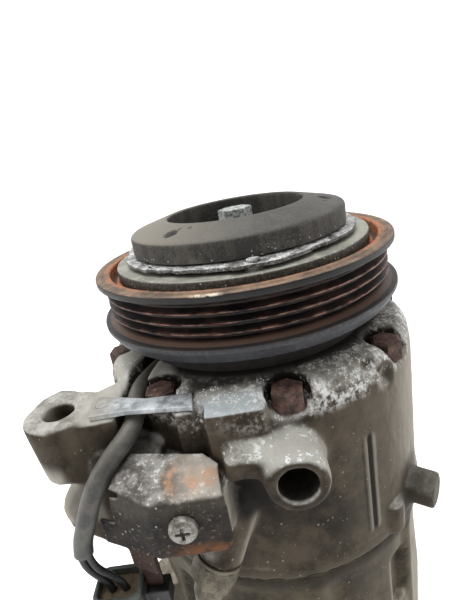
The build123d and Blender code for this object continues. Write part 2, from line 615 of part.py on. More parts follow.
with BuildPart() as front_housing:
    turned([
        (0.0, SEAM_Z), (65.2, SEAM_Z), (65.2, SEAM_Z + 5.0), (BODY_R, SEAM_Z + 6.0), (BODY_R, 160.0),
        (63.6, 166.0), (60.2, 171.0), (50.0, FACE_Z), (0.0, FACE_Z),
    ], rounded={(60.2, 171.0): 3.5, (BODY_R, 160.0): 10.0})
    ring(19.2, FACE_Z - 1, BEARING_Z)
    ring(BEARING_BORE_R, BEARING_Z, NOSE_TOP_Z)
    # left mounting ear, with the block and the land that carry the lead clamp
    ear_floor = EAR_TOP_Z - EAR_T
    ring(12.4, ear_floor, EAR_TOP_Z, at=EAR)
    slab([(-83.0, -47.5), (-81.0, -40.5), (-75.4, -35.0), (-61.4, -41.0), (-60.8, -58.8), (-66.0, -62.8)],
         ear_floor, EAR_TOP_Z)
    slab([(-64.0, -61.0), (-50.0, -58.8), (-50.0, -44.0), (-44.0, -36.0), (-52.0, -30.0), (-64.0, -40.0)],
         ear_floor, STRAP_SEAT_Z)
    block((-30.0, -23.4), (-62.0, -46.0), (150.0, STRAP_SEAT_Z))
    block((-20.2, -1.0), (-67.0, -44.0), (146.0, 169.0))
    # wing below the ear
    with BuildSketch(Plane.XZ.offset(50.0)) as wing:
        with BuildLine():
            Polyline((-58.0, 157.0), (-67.5, 150.0), (-75.0, 140.5), (-76.5, 136.0), (-75.5, 128.0),
                     (-62.0, 117.0), (-38.0, 117.0), (-38.0, 152.5), close=True)
        make_face()
    extrude(wing.sketch, amount=11.5)
    block((-62.0, -36.0), (-52.0, -40.0), (117.0, 152.5))
    # hidden mounting ear on the far side
    ring(12.4, EAR_TOP_Z - EAR_T, EAR_TOP_Z, at=BACK_EAR)
    slab([(11.6, 81.0), (8.0, 60.0), (44.0, 44.0), (36.2, 84.0)], EAR_TOP_Z - EAR_T, EAR_TOP_Z)
    # boss of the cross hole, and the ledge that joins it to the cover's block
    peg((CROSS_HOLE[0], CROSS_FACE_Y, CROSS_HOLE[1]), (0, 1, 0), 10.6, 25.0)
    block((CROSS_HOLE[0] - 21.7, CROSS_HOLE[0]), (-73.5, -56.0), (147.5, 156.5))
    slab([(-40.2, -77.6), (-16.5, -77.6), (-16.5, -56.0), (-38.0, -48.0), (-52.0, -48.0), (-53.0, -70.8)],
         130.0, 147.8)
    # stub lug on the right
    stub_x, stub_y = polar(60.0, STUB_DEG)
    peg((stub_x, stub_y, 104.5), (stub_x, stub_y, 0.0), 7.2, 14.6)
    # boss of the relief valve
    peg(RELIEF_FROM, RELIEF_DIR, RELIEF_BOSS_R, RELIEF_BOSS_L)
    ball(RELIEF_BOSS_R, RELIEF_FROM)
    # foot pads over the joint face
    for degrees in (-49.0, 41.0, 131.0):
        pad_x, pad_y = polar(61.5, degrees)
        ring(6.0, SEAM_Z, SEAM_Z + 13.0, at=(pad_x, pad_y))
    # inside: scroll chamber, crank chamber, bearing seat, seal bore
    ring(CAVITY_R, SEAM_Z - 1, THRUST_Z, mode=Mode.SUBTRACT)
    ring(26.5, THRUST_Z - 1, 117.0, mode=Mode.SUBTRACT)
    ring(46.0, 116.5, 134.0, mode=Mode.SUBTRACT)
    ring(MAIN_OUTER_R, 133.0, MAIN_TOP_Z, mode=Mode.SUBTRACT)
    ring(17.5, MAIN_TOP_Z - 1, 154.0, mode=Mode.SUBTRACT)
    ring(9.4, 153.0, 159.0, mode=Mode.SUBTRACT)
    ring(SEAL_BORE_R, 158.0, NOSE_TOP_Z + 1, mode=Mode.SUBTRACT)
    ring(15.1, 169.2, 170.6, mode=Mode.SUBTRACT)
    # circlip grooves round the nose
    ring(25.0, 197.0, 198.7, 16.0, mode=Mode.SUBTRACT)
    ring(25.0, COIL_FLOOR_Z, COIL_FLOOR_Z + 1.7, 17.9, mode=Mode.SUBTRACT)
    # bolt pockets and holes
    for spot in bolt_spots:
        ring(7.7, BOLT_SEAT_Z, FACE_Z + 1, at=spot, mode=Mode.SUBTRACT)
        ring(BOLT_R + 0.3, SEAM_Z - 1, BOLT_SEAT_Z + 1, at=spot, mode=Mode.SUBTRACT)
    for spot in dowel_spots:
        ring(2.5, SEAM_Z - 1, SEAM_Z + 8, at=spot, mode=Mode.SUBTRACT)
    # mounting holes
    for spot in (EAR, BACK_EAR):
        ring(EAR_HOLE_R, EAR_TOP_Z - EAR_T - 1, EAR_TOP_Z + 1, at=spot, mode=Mode.SUBTRACT)
    peg((CROSS_HOLE[0], CROSS_FACE_Y - 1, CROSS_HOLE[1]), (0, 1, 0), CROSS_HOLE_R, CROSS_DEPTH + 1,
        mode=Mode.SUBTRACT)
    # the lead's channel over the shoulder, and the flat that the clamp strap lies on
    slab([(-35.3, -20.9), (-40.8, -32.9), (-42.0, -44.0), (-40.4, -52.0), (-42.0, -66.0), (-49.2, -66.0),
          (-49.2, -54.0), (-50.6, -43.0), (-48.8, -29.1), (-42.9, -17.1)], 161.2, 173.0, mode=Mode.SUBTRACT)
    block((-42.0, -23.0), (-63.0, -51.4), (STRAP_SEAT_Z, 173.0), mode=Mode.SUBTRACT)
    # casting line down the right-hand side
    groove_x, groove_y = polar(BODY_R + 0.2, -59.5)
    peg((groove_x, groove_y, 103.0), (0, 0, 1), 0.9, 41.0, mode=Mode.SUBTRACT)
    # holes of the strap's pin, the cover screw and the relief valve
    ring(2.0 + GAP, 156.0, FACE_Z, at=STRAP_PIN_AT, mode=Mode.SUBTRACT)
    peg((-31.0, -78.5, 140.0), (0, 1, 0), 2.1, 12.0, mode=Mode.SUBTRACT)
    relief_seat = Vector(*RELIEF_FROM) + RELIEF_DIR * RELIEF_BOSS_L
    peg(relief_seat + RELIEF_DIR, -RELIEF_DIR, 5.6, 12.0, mode=Mode.SUBTRACT)
    peg(relief_seat, RELIEF_DIR, RELIEF_BOSS_R + 0.8, 12.0, mode=Mode.SUBTRACT)
front_housing.part.label = "front_housing"
export_step(front_housing.part, "parts/front_housing.step")

# ---- rear casting ----------------------------------------------------------------
PAD_Y = 70.0
SUCTION_AT = (-11.0, 68.0)
SUCTION_R = 8.5
SUCTION_DEPTH = 14.0
DISCHARGE_AT = (11.0, 32.0)
DISCHARGE_R = 6.5
DISCHARGE_DEPTH = 16.0
PORT_STUD_AT = (11.0, 56.0)
PORT_STUD_R = 3.4

with BuildPart() as rear_housing:
    turned([
        (0.0, 0.0), (52.0, 0.0), (60.5, 4.0), (63.0, 14.0), (63.6, 42.0), (REAR_R, 68.0), (REAR_R, 86.0),
        (64.4, 89.0), (64.4, SEAM_Z), (0.0, SEAM_Z),
    ], rounded={(60.5, 4.0): 5.0, (52.0, 0.0): 6.0, (63.6, 42.0): 20.0})
    # lug and rib on the left, and the pad for the two ports at the back
    slab([polar(60, -168), polar(70.5, -161), polar(70.5, -153), polar(60, -143)], 0.0, 62.0)
    block((-25.0, 25.0), (50.0, PAD_Y), (20.0, 82.0))
    # columns round the bolts
    for spot in bolt_spots:
        ring(5.8, 12.0, SEAM_Z, at=spot)
    # cored pockets between the columns
    for i in range(BOLT_COUNT):
        pocket_x, pocket_y = polar(64.5, BOLT_START_DEG + 36.5 + 45.0 * i)
        ring(5.4, 50.0, 77.0, at=(pocket_x, pocket_y), mode=Mode.SUBTRACT)
    block((-25.0, 25.0), (58.0, PAD_Y), (20.0, 82.0))
    # chambers
    ring(CAVITY_R, FIXED_BASE_Z, SEAM_Z + 1, mode=Mode.SUBTRACT)
    ring(46.0, 10.0, FIXED_BASE_Z + 1, mode=Mode.SUBTRACT)
    # ports: a wide bore for the hose's spigot, then a narrower passage to its chamber
    for (x, z), radius, depth, narrow, reach in (
            (SUCTION_AT, SUCTION_R, SUCTION_DEPTH, 6.0, 24.0),
            (DISCHARGE_AT, DISCHARGE_R, DISCHARGE_DEPTH, 4.5, 30.0)):
        peg((x, PAD_Y + 1, z), (0, -1, 0), radius, depth + 1, mode=Mode.SUBTRACT)
        peg((x, PAD_Y + 1, z), (0, -1, 0), narrow, reach, mode=Mode.SUBTRACT)
    peg((PORT_STUD_AT[0], PAD_Y + 1, PORT_STUD_AT[1]), (0, -1, 0), PORT_STUD_R, 15.0, mode=Mode.SUBTRACT)
    # bolt, dowel and seal-ring seats in the joint face
    for spot in bolt_spots:
        ring(BOLT_R + GAP, BOLT_END_Z - 2, SEAM_Z + 1, at=spot, mode=Mode.SUBTRACT)
    for spot in dowel_spots:
        ring(2.5, SEAM_Z - 8, SEAM_Z + 1, at=spot, mode=Mode.SUBTRACT)
    ring(54.5, SEAM_Z - 1.5, SEAM_Z + 1, 52.7, mode=Mode.SUBTRACT)
rear_housing.part.label = "rear_housing"
export_step(rear_housing.part, "parts/rear_housing.step")

with BuildPart() as seam_seal_ring:
    with BuildSketch(Plane.XZ) as section:
        with Locations((53.6, SEAM_Z - 0.76)):
            Circle(0.74)
    revolve(section.sketch, axis=Axis.Z)
seam_seal_ring.part.label = "seam_seal_ring"
export_step(seam_seal_ring.part, "parts/seam_seal_ring.step")

with BuildPart() as housing_bolts:
    for x, y in bolt_spots:
        ring(BOLT_R, BOLT_END_Z, BOLT_SEAT_Z, at=(x, y))
        ring(6.0, BOLT_SEAT_Z, BOLT_SEAT_Z + 1.5, at=(x, y))
        hexagon((x, y, BOLT_SEAT_Z + 1.5), (0, 0, 1), 10.0, 6.3)
housing_bolts.part.label = "housing_bolts"
export_step(housing_bolts.part, "parts/housing_bolts.step")

with BuildPart() as dowel_pins:
    for spot in dowel_spots:
        ring(2.5 - GAP, SEAM_Z - 7.5, SEAM_Z + 7.5, at=spot)
dowel_pins.part.label = "dowel_pins"
export_step(dowel_pins.part, "parts/dowel_pins.step")

# ---- pressure relief valve -------------------------------------------------------
RELIEF_HEX = 15.0
RELIEF_TRAVEL = 1.2
valve_plane = Plane(origin=relief_seat, z_dir=RELIEF_DIR)

with BuildPart() as relief_washer:
    peg(relief_seat, RELIEF_DIR, RELIEF_BOSS_R - 0.2, 1.2, 5.7)
relief_washer.part.label = "relief_washer"
export_step(relief_washer.part, "parts/relief_washer.step")

with BuildPart() as relief_valve:
    hex_from = relief_seat + RELIEF_DIR * 1.2
    hexagon(hex_from, RELIEF_DIR, RELIEF_HEX, 8.0)
    peg(relief_seat - RELIEF_DIR * 9.0, RELIEF_DIR, 5.5, 10.4)
    peg(hex_from + RELIEF_DIR * 8.0, RELIEF_DIR, 5.6, 5.0)
    with BuildSketch(Plane(origin=hex_from + RELIEF_DIR * 13.0, z_dir=RELIEF_DIR)) as wide_end:
        Circle(5.6)
    extrude(wide_end.sketch, amount=4.0, taper=22.0)
    peg(relief_seat - RELIEF_DIR * 10.0, RELIEF_DIR, 1.6, 29.0, mode=Mode.SUBTRACT)
    peg(relief_seat - RELIEF_DIR * 6.0, RELIEF_DIR, 3.4, 18.0, mode=Mode.SUBTRACT)
relief_valve.part.label = "relief_valve"
export_step(relief_valve.part, "parts/relief_valve.step")

with BuildPart() as relief_poppet:
    peg(relief_seat - RELIEF_DIR * 5.9, RELIEF_DIR, 3.0, 3.5)
relief_poppet.part.label = "relief_poppet"
export_step(relief_poppet.part, "parts/relief_poppet.step")

with BuildPart() as relief_spring:
    peg(relief_seat - RELIEF_DIR * 1.0, RELIEF_DIR, 2.9, 12.5, 2.2)
relief_spring.part.label = "relief_spring"
export_step(relief_spring.part, "parts/relief_spring.step")

# ---- lead clamp, cover and what holds them ------------------------------------------
strap_top = EAR_TOP_Z

with BuildPart() as clamp_strap:
    slab([
        (-58.4, -45.8), (-50.6, -48.3), (-40.6, -51.9), (-24.1, -52.9), (-23.4, -61.6), (-45.8, -58.2),
        (-58.4, -58.5),
    ], STRAP_SEAT_Z + GAP, strap_top)
    ring(2.0 + GAP, 160.0, 175.0, at=STRAP_PIN_AT, mode=Mode.SUBTRACT)
clamp_strap.part.label = "clamp_strap"
export_step(clamp_strap.part, "parts/clamp_strap.step")

with BuildPart() as strap_pin:
    ring(2.0, 158.0, strap_top, at=STRAP_PIN_AT)
strap_pin.part.label = "strap_pin"
export_step(strap_pin.part, "parts/strap_pin.step")

COVER_FRONT_Y = -79.3
COVER_T = 1.6
COVER_TOP_Z = 149.6
COVER_SLOPE_DEG = 22.0
COVER_SCREW_AT = (-31.0, 140.0)
TONGUE_X = (-51.5, -45.0)
TONGUE_Y = (-71.0, -69.4)

with BuildPart() as cover_plate:
    slab([
        (-16.8, COVER_FRONT_Y), (-40.5, COVER_FRONT_Y), (-54.6, -72.4), (-54.0, -71.0),
        (-40.2, COVER_FRONT_Y + COVER_T), (-16.8, COVER_FRONT_Y + COVER_T),
    ], 128.0, COVER_TOP_Z - 0.4)
    slab([(-54.6, -72.4), (-60.6, -69.5), (-60.0, -68.1), (-54.0, -71.0)], 128.0, 138.0)
    lean = math.radians(COVER_SLOPE_DEG)
    top_plane = Plane(origin=(-35.0, COVER_FRONT_Y + 0.3, COVER_TOP_Z), x_dir=(1, 0, 0),
                      z_dir=(0, -math.sin(lean), math.cos(lean)))
    with BuildSketch(top_plane) as top_face:
        with BuildLine():
            Polyline((18.2, 0.0), (-5.5, 0.0), (-19.0, 7.2), (-12.0, 18.5), (12.5, 14.5), (17.0, 10.5), close=True)
        make_face()
    extrude(top_face.sketch, amount=-COVER_T)
    # tab below the front face, and the tongue that the connector clips on
    slab([(-43.5, -77.83), (-52.5, -73.43), (-51.9, -72.0), (-42.9, -76.3)], 120.0, 128.5)
    slab([(-45.0, -76.2), (-51.5, -73.2), (-51.5, TONGUE_Y[1]), (-45.0, TONGUE_Y[1])], 120.0, 121.6)
    block(TONGUE_X, TONGUE_Y, (99.0, 121.6))
    peg((COVER_SCREW_AT[0], COVER_FRONT_Y - 1, COVER_SCREW_AT[1]), (0, 1, 0), 2.6, 6.0, mode=Mode.SUBTRACT)
cover_plate.part.label = "cover_plate"
export_step(cover_plate.part, "parts/cover_plate.step")

with BuildPart() as cover_screw:
    head_y = COVER_FRONT_Y - GAP
    peg((COVER_SCREW_AT[0], head_y, COVER_SCREW_AT[1]), (0, -1, 0), 4.5, 3.0)
    dome = cover_screw.edges().filter_by(GeomType.CIRCLE).group_by(Axis.Y)[0]
    fillet(dome, 1.6)
    peg((COVER_SCREW_AT[0], head_y, COVER_SCREW_AT[1]), (0, 1, 0), 2.0, 11.0)
    block((COVER_SCREW_AT[0] - 0.55, COVER_SCREW_AT[0] + 0.55), (head_y - 4, head_y - 1.2),
          (COVER_SCREW_AT[1] - 2.4, COVER_SCREW_AT[1] + 2.4), mode=Mode.SUBTRACT)
    block((COVER_SCREW_AT[0] - 2.4, COVER_SCREW_AT[0] + 2.4), (head_y - 4, head_y - 1.2),
          (COVER_SCREW_AT[1] - 0.55, COVER_SCREW_AT[1] + 0.55), mode=Mode.SUBTRACT)
cover_screw.part.label = "cover_screw"
export_step(cover_screw.part, "parts/cover_screw.step")

# ---- coil lead and its connector -------------------------------------------------
SHEATH_D = 6.5
WIRE_D = 2.4
PLUG = (-59.6, -72.4)
PLUG_TOP_Z = 113.0
PLUG_FLOOR_Z = 88.0
PLUG_WIRES = ((-62.2, -72.4), (-57.6, -72.4))
WIRE_END_Z = 97.7

# The sheath runs from under the coil, past a bolt, beneath the strap and down the side.
SHEATH_ROUTE = [
    (-39.5, -20.0, 166.0), (-45.2, -32.0, 166.0), (-46.2, -43.8, 165.6), (-44.6, -52.4, 164.6),
    (-46.0, -59.6, 162.4), (-51.2, -65.0, 158.9), (-57.0, -69.0, 153.2), (-61.2, -71.0, 145.6),
    (-64.6, -71.7, 137.5), (-67.0, -71.9, 132.3), (-67.9, -71.9, 127.6),
]
WIRE_A_ROUTE = [
    (-69.22, -71.9, 127.80), (-69.5, -71.9, 124.2), (-68.0, -72.1, 119.6), (-64.8, -72.3, 115.9),
    (-62.2, -72.4, 111.6), (-62.3, -72.4, 104.6), (-62.2, -72.4, WIRE_END_Z),
]
WIRE_B_ROUTE = [
    (-66.58, -71.9, 127.30), (-66.6, -71.9, 123.6), (-64.9, -72.0, 119.4), (-61.2, -72.2, 116.3),
    (-57.6, -72.4, 111.8), (-57.7, -72.4, 104.7), (-57.6, -72.4, WIRE_END_Z),
]


def bend_radii(route):
    """The largest even arcs that fit the route's corners: 0.45 of the shorter run each."""
    radii = []
    for before, corner, after in zip(route, route[1:], route[2:]):
        arriving = Vector(*corner) - Vector(*before)
        leaving = Vector(*after) - Vector(*corner)
        turn = math.radians(max(arriving.get_angle(leaving), 0.5))
        radii.append(0.45 * min(arriving.length, leaving.length) / math.tan(turn / 2))
    return radii


def cord(route, diameter):
    """A round cord along a route of straight runs joined by tangent arcs."""
    radii = bend_radii(route)
    print("cord", diameter, "radii", [round(r, 1) for r in radii])
    with BuildLine() as path:
        FilletPolyline(*route, radius=radii)
    start = Vector(*route[0])
    with BuildSketch(Plane(origin=start, z_dir=Vector(*route[1]) - start)) as section:
        Circle(diameter / 2)
    sweep(section.sketch, path=path.wires()[0])
    print("   length", round(path.wires()[0].length, 2))


with BuildPart() as lead_sheath:
    cord(SHEATH_ROUTE, SHEATH_D)
lead_sheath.part.label = "lead_sheath"
export_step(lead_sheath.part, "parts/lead_sheath.step")

with BuildPart() as lead_wire_a:
    cord(WIRE_A_ROUTE, WIRE_D)
lead_wire_a.part.label = "lead_wire_a"
export_step(lead_wire_a.part, "parts/lead_wire_a.step")

with BuildPart() as lead_wire_b:
    cord(WIRE_B_ROUTE, WIRE_D)
lead_wire_b.part.label = "lead_wire_b"
export_step(lead_wire_b.part, "parts/lead_wire_b.step")


def plug_outline(width, depth, corner, z0, z1, mode=Mode.ADD):
    """A rounded rectangle on the connector's axis."""
    with BuildSketch(Plane.XY.offset(z0)) as section:
        with Locations(PLUG):
            RectangleRounded(width, depth, corner)
    extrude(section.sketch, amount=z1 - z0, mode=mode)


with BuildPart() as connector_body:
    plug_outline(16.4, 13.6, 3.4, PLUG_FLOOR_Z, PLUG_TOP_Z)
    plug_outline(17.6, 14.8, 4.0, 108.6, 111.0)
    plug_outline(13.6, 10.8, 2.2, 107.0, PLUG_TOP_Z + 1, mode=Mode.SUBTRACT)
    plug_outline(13.0, 10.2, 2.0, PLUG_FLOOR_Z - 1, 96.0, mode=Mode.SUBTRACT)
    for spot in PLUG_WIRES:
        ring(1.4, WIRE_END_Z - GAP, 108.0, at=spot, mode=Mode.SUBTRACT)
        block((spot[0] - 1.3, spot[0] + 1.3), (spot[1] - 0.5, spot[1] + 0.5), (95.0, WIRE_END_Z),
              mode=Mode.SUBTRACT)
    # clip on the right-hand side, over the cover's tongue
    block((-51.6, -43.4), (-73.6, -66.8), (100.0, 107.6))
    block((TONGUE_X[0] - 0.06, TONGUE_X[1] + 0.06), (TONGUE_Y[0] - 0.06, TONGUE_Y[1] + 0.06), (98.0, 115.0),
          mode=Mode.SUBTRACT)
connector_body.part.label = "connector_body"
export_step(connector_body.part, "parts/connector_body.step")

with BuildPart() as connector_seal:
    plug_outline(13.5, 10.7, 2.1, 107.0 + GAP, 110.0)
    for spot in PLUG_WIRES:
        ring(1.35, 106.0, 111.0, at=spot, mode=Mode.SUBTRACT)
connector_seal.part.label = "connector_seal"
export_step(connector_seal.part, "parts/connector_seal.step")

with BuildPart() as connector_terminals:
    for x, y in PLUG_WIRES:
        block((x - 1.2, x + 1.2), (y - 0.4, y + 0.4), (90.5, WIRE_END_Z - GAP))
connector_terminals.part.label = "connector_terminals"
export_step(connector_terminals.part, "parts/connector_terminals.step")
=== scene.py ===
import math

import bmesh
import bpy
import numpy as np
from mathutils import Matrix, Vector, noise


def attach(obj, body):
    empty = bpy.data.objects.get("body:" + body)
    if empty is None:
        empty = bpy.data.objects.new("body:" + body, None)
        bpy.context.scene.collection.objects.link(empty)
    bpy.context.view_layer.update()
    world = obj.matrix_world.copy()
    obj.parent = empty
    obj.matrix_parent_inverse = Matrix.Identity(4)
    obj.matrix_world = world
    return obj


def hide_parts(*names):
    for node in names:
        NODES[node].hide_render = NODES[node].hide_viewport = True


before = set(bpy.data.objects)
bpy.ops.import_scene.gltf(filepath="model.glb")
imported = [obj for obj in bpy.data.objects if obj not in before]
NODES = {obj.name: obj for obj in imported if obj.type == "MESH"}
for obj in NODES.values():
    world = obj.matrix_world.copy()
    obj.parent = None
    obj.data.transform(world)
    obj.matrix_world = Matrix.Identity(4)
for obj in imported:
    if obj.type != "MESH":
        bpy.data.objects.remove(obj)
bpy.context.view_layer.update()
MM = 0.001

# ---- heights and radii that the design fixes, in millimetres ---------------------
LIP_Z = 205.0
RIM_BACK_Z = 181.0
RIB_PITCH = 3.56
GROOVES = 4
ROTOR_FACE_Z = 201.05
CUP_R = 43.3
CUP_RIM_Z = 217.2
BOWL_R = 27.5
BOWL_RIM_Z = 221.3
CUP_FLOOR_Z = 206.9
BOLT_CIRCLE_R = 58.5
BOLT_SEAT_Z = 163.0
BOLT_COUNT = 8
BOLT_START_DEG = -83.0


def at(x, y, z):
    """A point given in millimetres, in the row's frame."""
    return Vector((x * MM, y * MM, z * MM))


def polar(radius, degrees):
    return (radius * math.cos(math.radians(degrees)), radius * math.sin(math.radians(degrees)))


def linear_colour(red, green, blue):
    """A display colour of 0 to 255 a channel, as the linear colour a shader takes."""
    def linear(c):
        c = c / 255
        return c / 12.92 if c <= 0.04045 else ((c + 0.055) / 1.055) ** 2.4
    return (linear(red), linear(green), linear(blue), 1.0)


# ---- camera ----------------------------------------------------------------------
EYE = (0.0, -184.5, 246.9)
SIGHT = Vector((-0.05373, 0.94156, -0.33254))
SIDE = Vector((0.98499, -0.00474, -0.17255))
LENS = 27.0
SENSOR = 36.0

camera_data = bpy.data.cameras.new("camera")
camera_data.lens = LENS
camera_data.sensor_width = SENSOR
camera_data.clip_start = 0.005
camera_data.clip_end = 30.0
camera = bpy.data.objects.new("camera", camera_data)
bpy.context.scene.collection.objects.link(camera)
back = -SIGHT.normalized()
up = back.cross(SIDE).normalized()
side = up.cross(back).normalized()
turn = Matrix((side, up, back)).transposed().to_4x4()
camera.matrix_world = Matrix.Translation(at(*EYE)) @ turn
bpy.context.scene.camera = camera

# ---- the lead: its sheath and its two wires --------------------------------------
SHEATH_D = 6.5
WIRE_D = 2.4
SHEATH_ROUTE = [
    (-39.5, -20.0, 166.0), (-45.2, -32.0, 166.0), (-46.2, -43.8, 165.6), (-44.6, -52.4, 164.6),
    (-46.0, -59.6, 162.4), (-51.2, -65.0, 158.9), (-57.0, -69.0, 153.2), (-61.2, -71.0, 145.6),
    (-64.6, -71.7, 137.5), (-67.0, -71.9, 132.3), (-67.9, -71.9, 127.6),
]
WIRE_A_ROUTE = [
    (-69.22, -71.9, 127.80), (-69.5, -71.9, 124.2), (-68.0, -72.1, 119.6), (-64.8, -72.3, 115.9),
    (-62.2, -72.4, 111.6), (-62.3, -72.4, 104.6), (-62.2, -72.4, 97.7),
]
WIRE_B_ROUTE = [
    (-66.58, -71.9, 127.30), (-66.6, -71.9, 123.6), (-64.9, -72.0, 119.4), (-61.2, -72.2, 116.3),
    (-57.6, -72.4, 111.8), (-57.7, -72.4, 104.7), (-57.6, -72.4, 97.7),
]


def cord(name, route, diameter):
    """A round cord on one smooth line through its route's control points."""
    curve = bpy.data.curves.new(name, "CURVE")
    curve.dimensions = "3D"
    curve.resolution_u = 12
    curve.bevel_depth = diameter / 2 * MM
    curve.bevel_resolution = 6
    curve.use_fill_caps = True
    spline = curve.splines.new("NURBS")
    spline.points.add(len(route) - 1)
    for point, place in zip(spline.points, route):
        point.co = (*at(*place), 1.0)
    spline.order_u = 3
    spline.use_endpoint_u = True
    piece = bpy.data.objects.new(name, curve)
    bpy.context.scene.collection.objects.link(piece)
    return piece


sheath = cord("sheath", SHEATH_ROUTE, SHEATH_D)
wire_a = cord("wire_a", WIRE_A_ROUTE, WIRE_D)
wire_b = cord("wire_b", WIRE_B_ROUTE, WIRE_D)


# ---- shaping helpers -------------------------------------------------------------
def new_piece(name, mesh):
    piece = bpy.data.objects.new(name, mesh)
    bpy.context.scene.collection.objects.link(piece)
    return piece


def copy_of(node, name):
    """A merged copy of a CAD node, ready for modifiers."""
    mesh = NODES[node].data.copy()
    mesh.materials.clear()
    shape = bmesh.new()
    shape.from_mesh(mesh)
    bmesh.ops.remove_doubles(shape, verts=shape.verts, dist=1e-6)
    shape.to_mesh(mesh)
    shape.free()
    for attribute in ("custom_normal", "sharp_edge", "sharp_face"):
        if attribute in mesh.attributes:
            mesh.attributes.remove(mesh.attributes[attribute])
    return new_piece(name, mesh)


def apply_modifiers(piece):
    """Turns a piece's modifiers into its plain mesh."""
    depsgraph = bpy.context.evaluated_depsgraph_get()
    mesh = bpy.data.meshes.new_from_object(piece.evaluated_get(depsgraph))
    piece.modifiers.clear()
    piece.data = mesh
    return piece


def shade(piece, angle=35.0):
    """Smooth shading, kept sharp over edges steeper than the angle."""
    mesh = piece.data
    mesh.polygons.foreach_set("use_smooth", [True] * len(mesh.polygons))
    shape = bmesh.new()
    shape.from_mesh(mesh)
    limit = math.radians(angle)
    for edge in shape.edges:
        edge.smooth = len(edge.link_faces) == 2 and edge.calc_face_angle(0.0) < limit
    shape.to_mesh(mesh)
    shape.free()
    return piece


def softened(node, name, voxel, rounds, strength=0.5):
    """A copy of a CAD node with its corners rounded off, as a casting's or a moulding's are."""
    piece = copy_of(node, name)
    remesh = piece.modifiers.new("voxels", "REMESH")
    remesh.mode = "VOXEL"
    remesh.voxel_size = voxel * MM
    smooth = piece.modifiers.new("rounding", "SMOOTH")
    smooth.factor = strength
    smooth.iterations = rounds
    apply_modifiers(piece)
    piece.data.polygons.foreach_set("use_smooth", [True] * len(piece.data.polygons))
    return piece


def rounded_where(piece, share, rounds):
    """Smooths a piece further where share(point in mm) is above 0."""
    group = piece.vertex_groups.new(name="rounded")
    for vertex in piece.data.vertices:
        amount = share(vertex.co / MM)
        if amount > 0.0:
            group.add([vertex.index], min(1.0, amount), "REPLACE")
    smooth = piece.modifiers.new("rounding", "SMOOTH")
    smooth.factor = 0.5
    smooth.iterations = rounds
    smooth.vertex_group = "rounded"
    apply_modifiers(piece)
    piece.vertex_groups.clear()
    return piece


def bevelled(node, name, width, segments=2, angle=30.0):
    """A copy of a CAD node with its sharp edges eased."""
    piece = copy_of(node, name)
    bevel = piece.modifiers.new("eased edges", "BEVEL")
    bevel.width = width * MM
    bevel.segments = segments
    bevel.limit_method = "ANGLE"
    bevel.angle_limit = math.radians(angle)
    bevel.use_clamp_overlap = True
    bevel.harden_normals = False
    apply_modifiers(piece)
    return shade(piece, 40.0)


def roughen(piece, height):
    """Moves each point along its normal by height(point in mm), also in mm."""
    mesh = piece.data
    count = len(mesh.vertices)
    places = np.empty(count * 3)
    normals = np.empty(count * 3)
    mesh.vertices.foreach_get("co", places)
    mesh.vertices.foreach_get("normal", normals)
    places = places.reshape(-1, 3)
    normals = normals.reshape(-1, 3)
    for i in range(count):
        places[i] += normals[i] * height(Vector(places[i]) / MM, normals[i]) * MM
    mesh.vertices.foreach_set("co", places.ravel())
    mesh.update()
    return piece


def rounded_outline(corners, steps=5):
    """An outline of (radius, height, rounding) corners, each turned into an arc."""
    outline = []
    total = len(corners)
    for i, (r, z, size) in enumerate(corners):
        here = Vector((r, z))
        before = Vector(corners[i - 1][:2])
        after = Vector(corners[(i + 1) % total][:2])
        if size <= 0:
            outline.append(here)
            continue
        arriving = (before - here).normalized()
        leaving = (after - here).normalized()
        half = arriving.angle(leaving) / 2
        reach = min(size / math.tan(half), 0.48 * (before - here).length, 0.48 * (after - here).length)
        start = here + arriving * reach
        end = here + leaving * reach
        for k in range(steps + 1):
            t = k / steps
            outline.append((1 - t) ** 2 * start + 2 * t * (1 - t) * here + t ** 2 * end)
    return outline


def lathe(name, corners, segments=256, longest=2.0):
    """A closed shape turned about Z from its rounded outline, in millimetres."""
    outline = rounded_outline(corners)
    fine = []
    for a, b in zip(outline, outline[1:] + outline[:1]):
        pieces = max(1, int(math.ceil((b - a).length / longest)))
        fine += [a.lerp(b, k / pieces) for k in range(pieces)]
    count = len(fine)
    verts = []
    for i in range(segments):
        angle = 2 * math.pi * i / segments
        verts += [(p.x * math.cos(angle) * MM, p.x * math.sin(angle) * MM, p.y * MM) for p in fine]
    faces = []
    for i in range(segments):
        j = (i + 1) % segments
        for k in range(count):
            m = (k + 1) % count
            faces.append((i * count + k, j * count + k, j * count + m, i * count + m))
    mesh = bpy.data.meshes.new(name)
    mesh.from_pydata(verts, [], faces)
    shape = bmesh.new()
    shape.from_mesh(mesh)
    bmesh.ops.remove_doubles(shape, verts=shape.verts, dist=1e-7)
    bmesh.ops.recalc_face_normals(shape, faces=shape.faces)
    shape.to_mesh(mesh)
    shape.free()
    return shade(new_piece(name, mesh), 45.0)


def lumps(point, scale, octaves=3):
    """Soft irregular bumps, -1 to 1, at a size in millimetres."""
    return noise.fractal(point / scale, 0.6, 2.0, octaves)


# ---- castings --------------------------------------------------------------------
def bolt_spots():
    return [polar(BOLT_CIRCLE_R, BOLT_START_DEG + 360.0 * i / BOLT_COUNT) for i in range(BOLT_COUNT)]


BOLT_SPOTS = bolt_spots()


# Soft hollows cast into the shoulder: (centre, reach, depth).
HOLLOWS = [(Vector((35.0, -50.0, 166.5)), 6.0, 3.0), (Vector((40.5, -46.5, 161.5)), 6.0, 2.6)]
LINE_AT = Vector((32.6, -55.4))
LINE_Z = (103.0, 144.0)
CROSS_HOLE = Vector((5.5, -72.0, 146.5))
STUB_LUG = (55.0, -40.0, 104.5)
EAR_ROOT_X = -66.0
EAR_TOP_Z = 170.0
EAR_T = 22.0


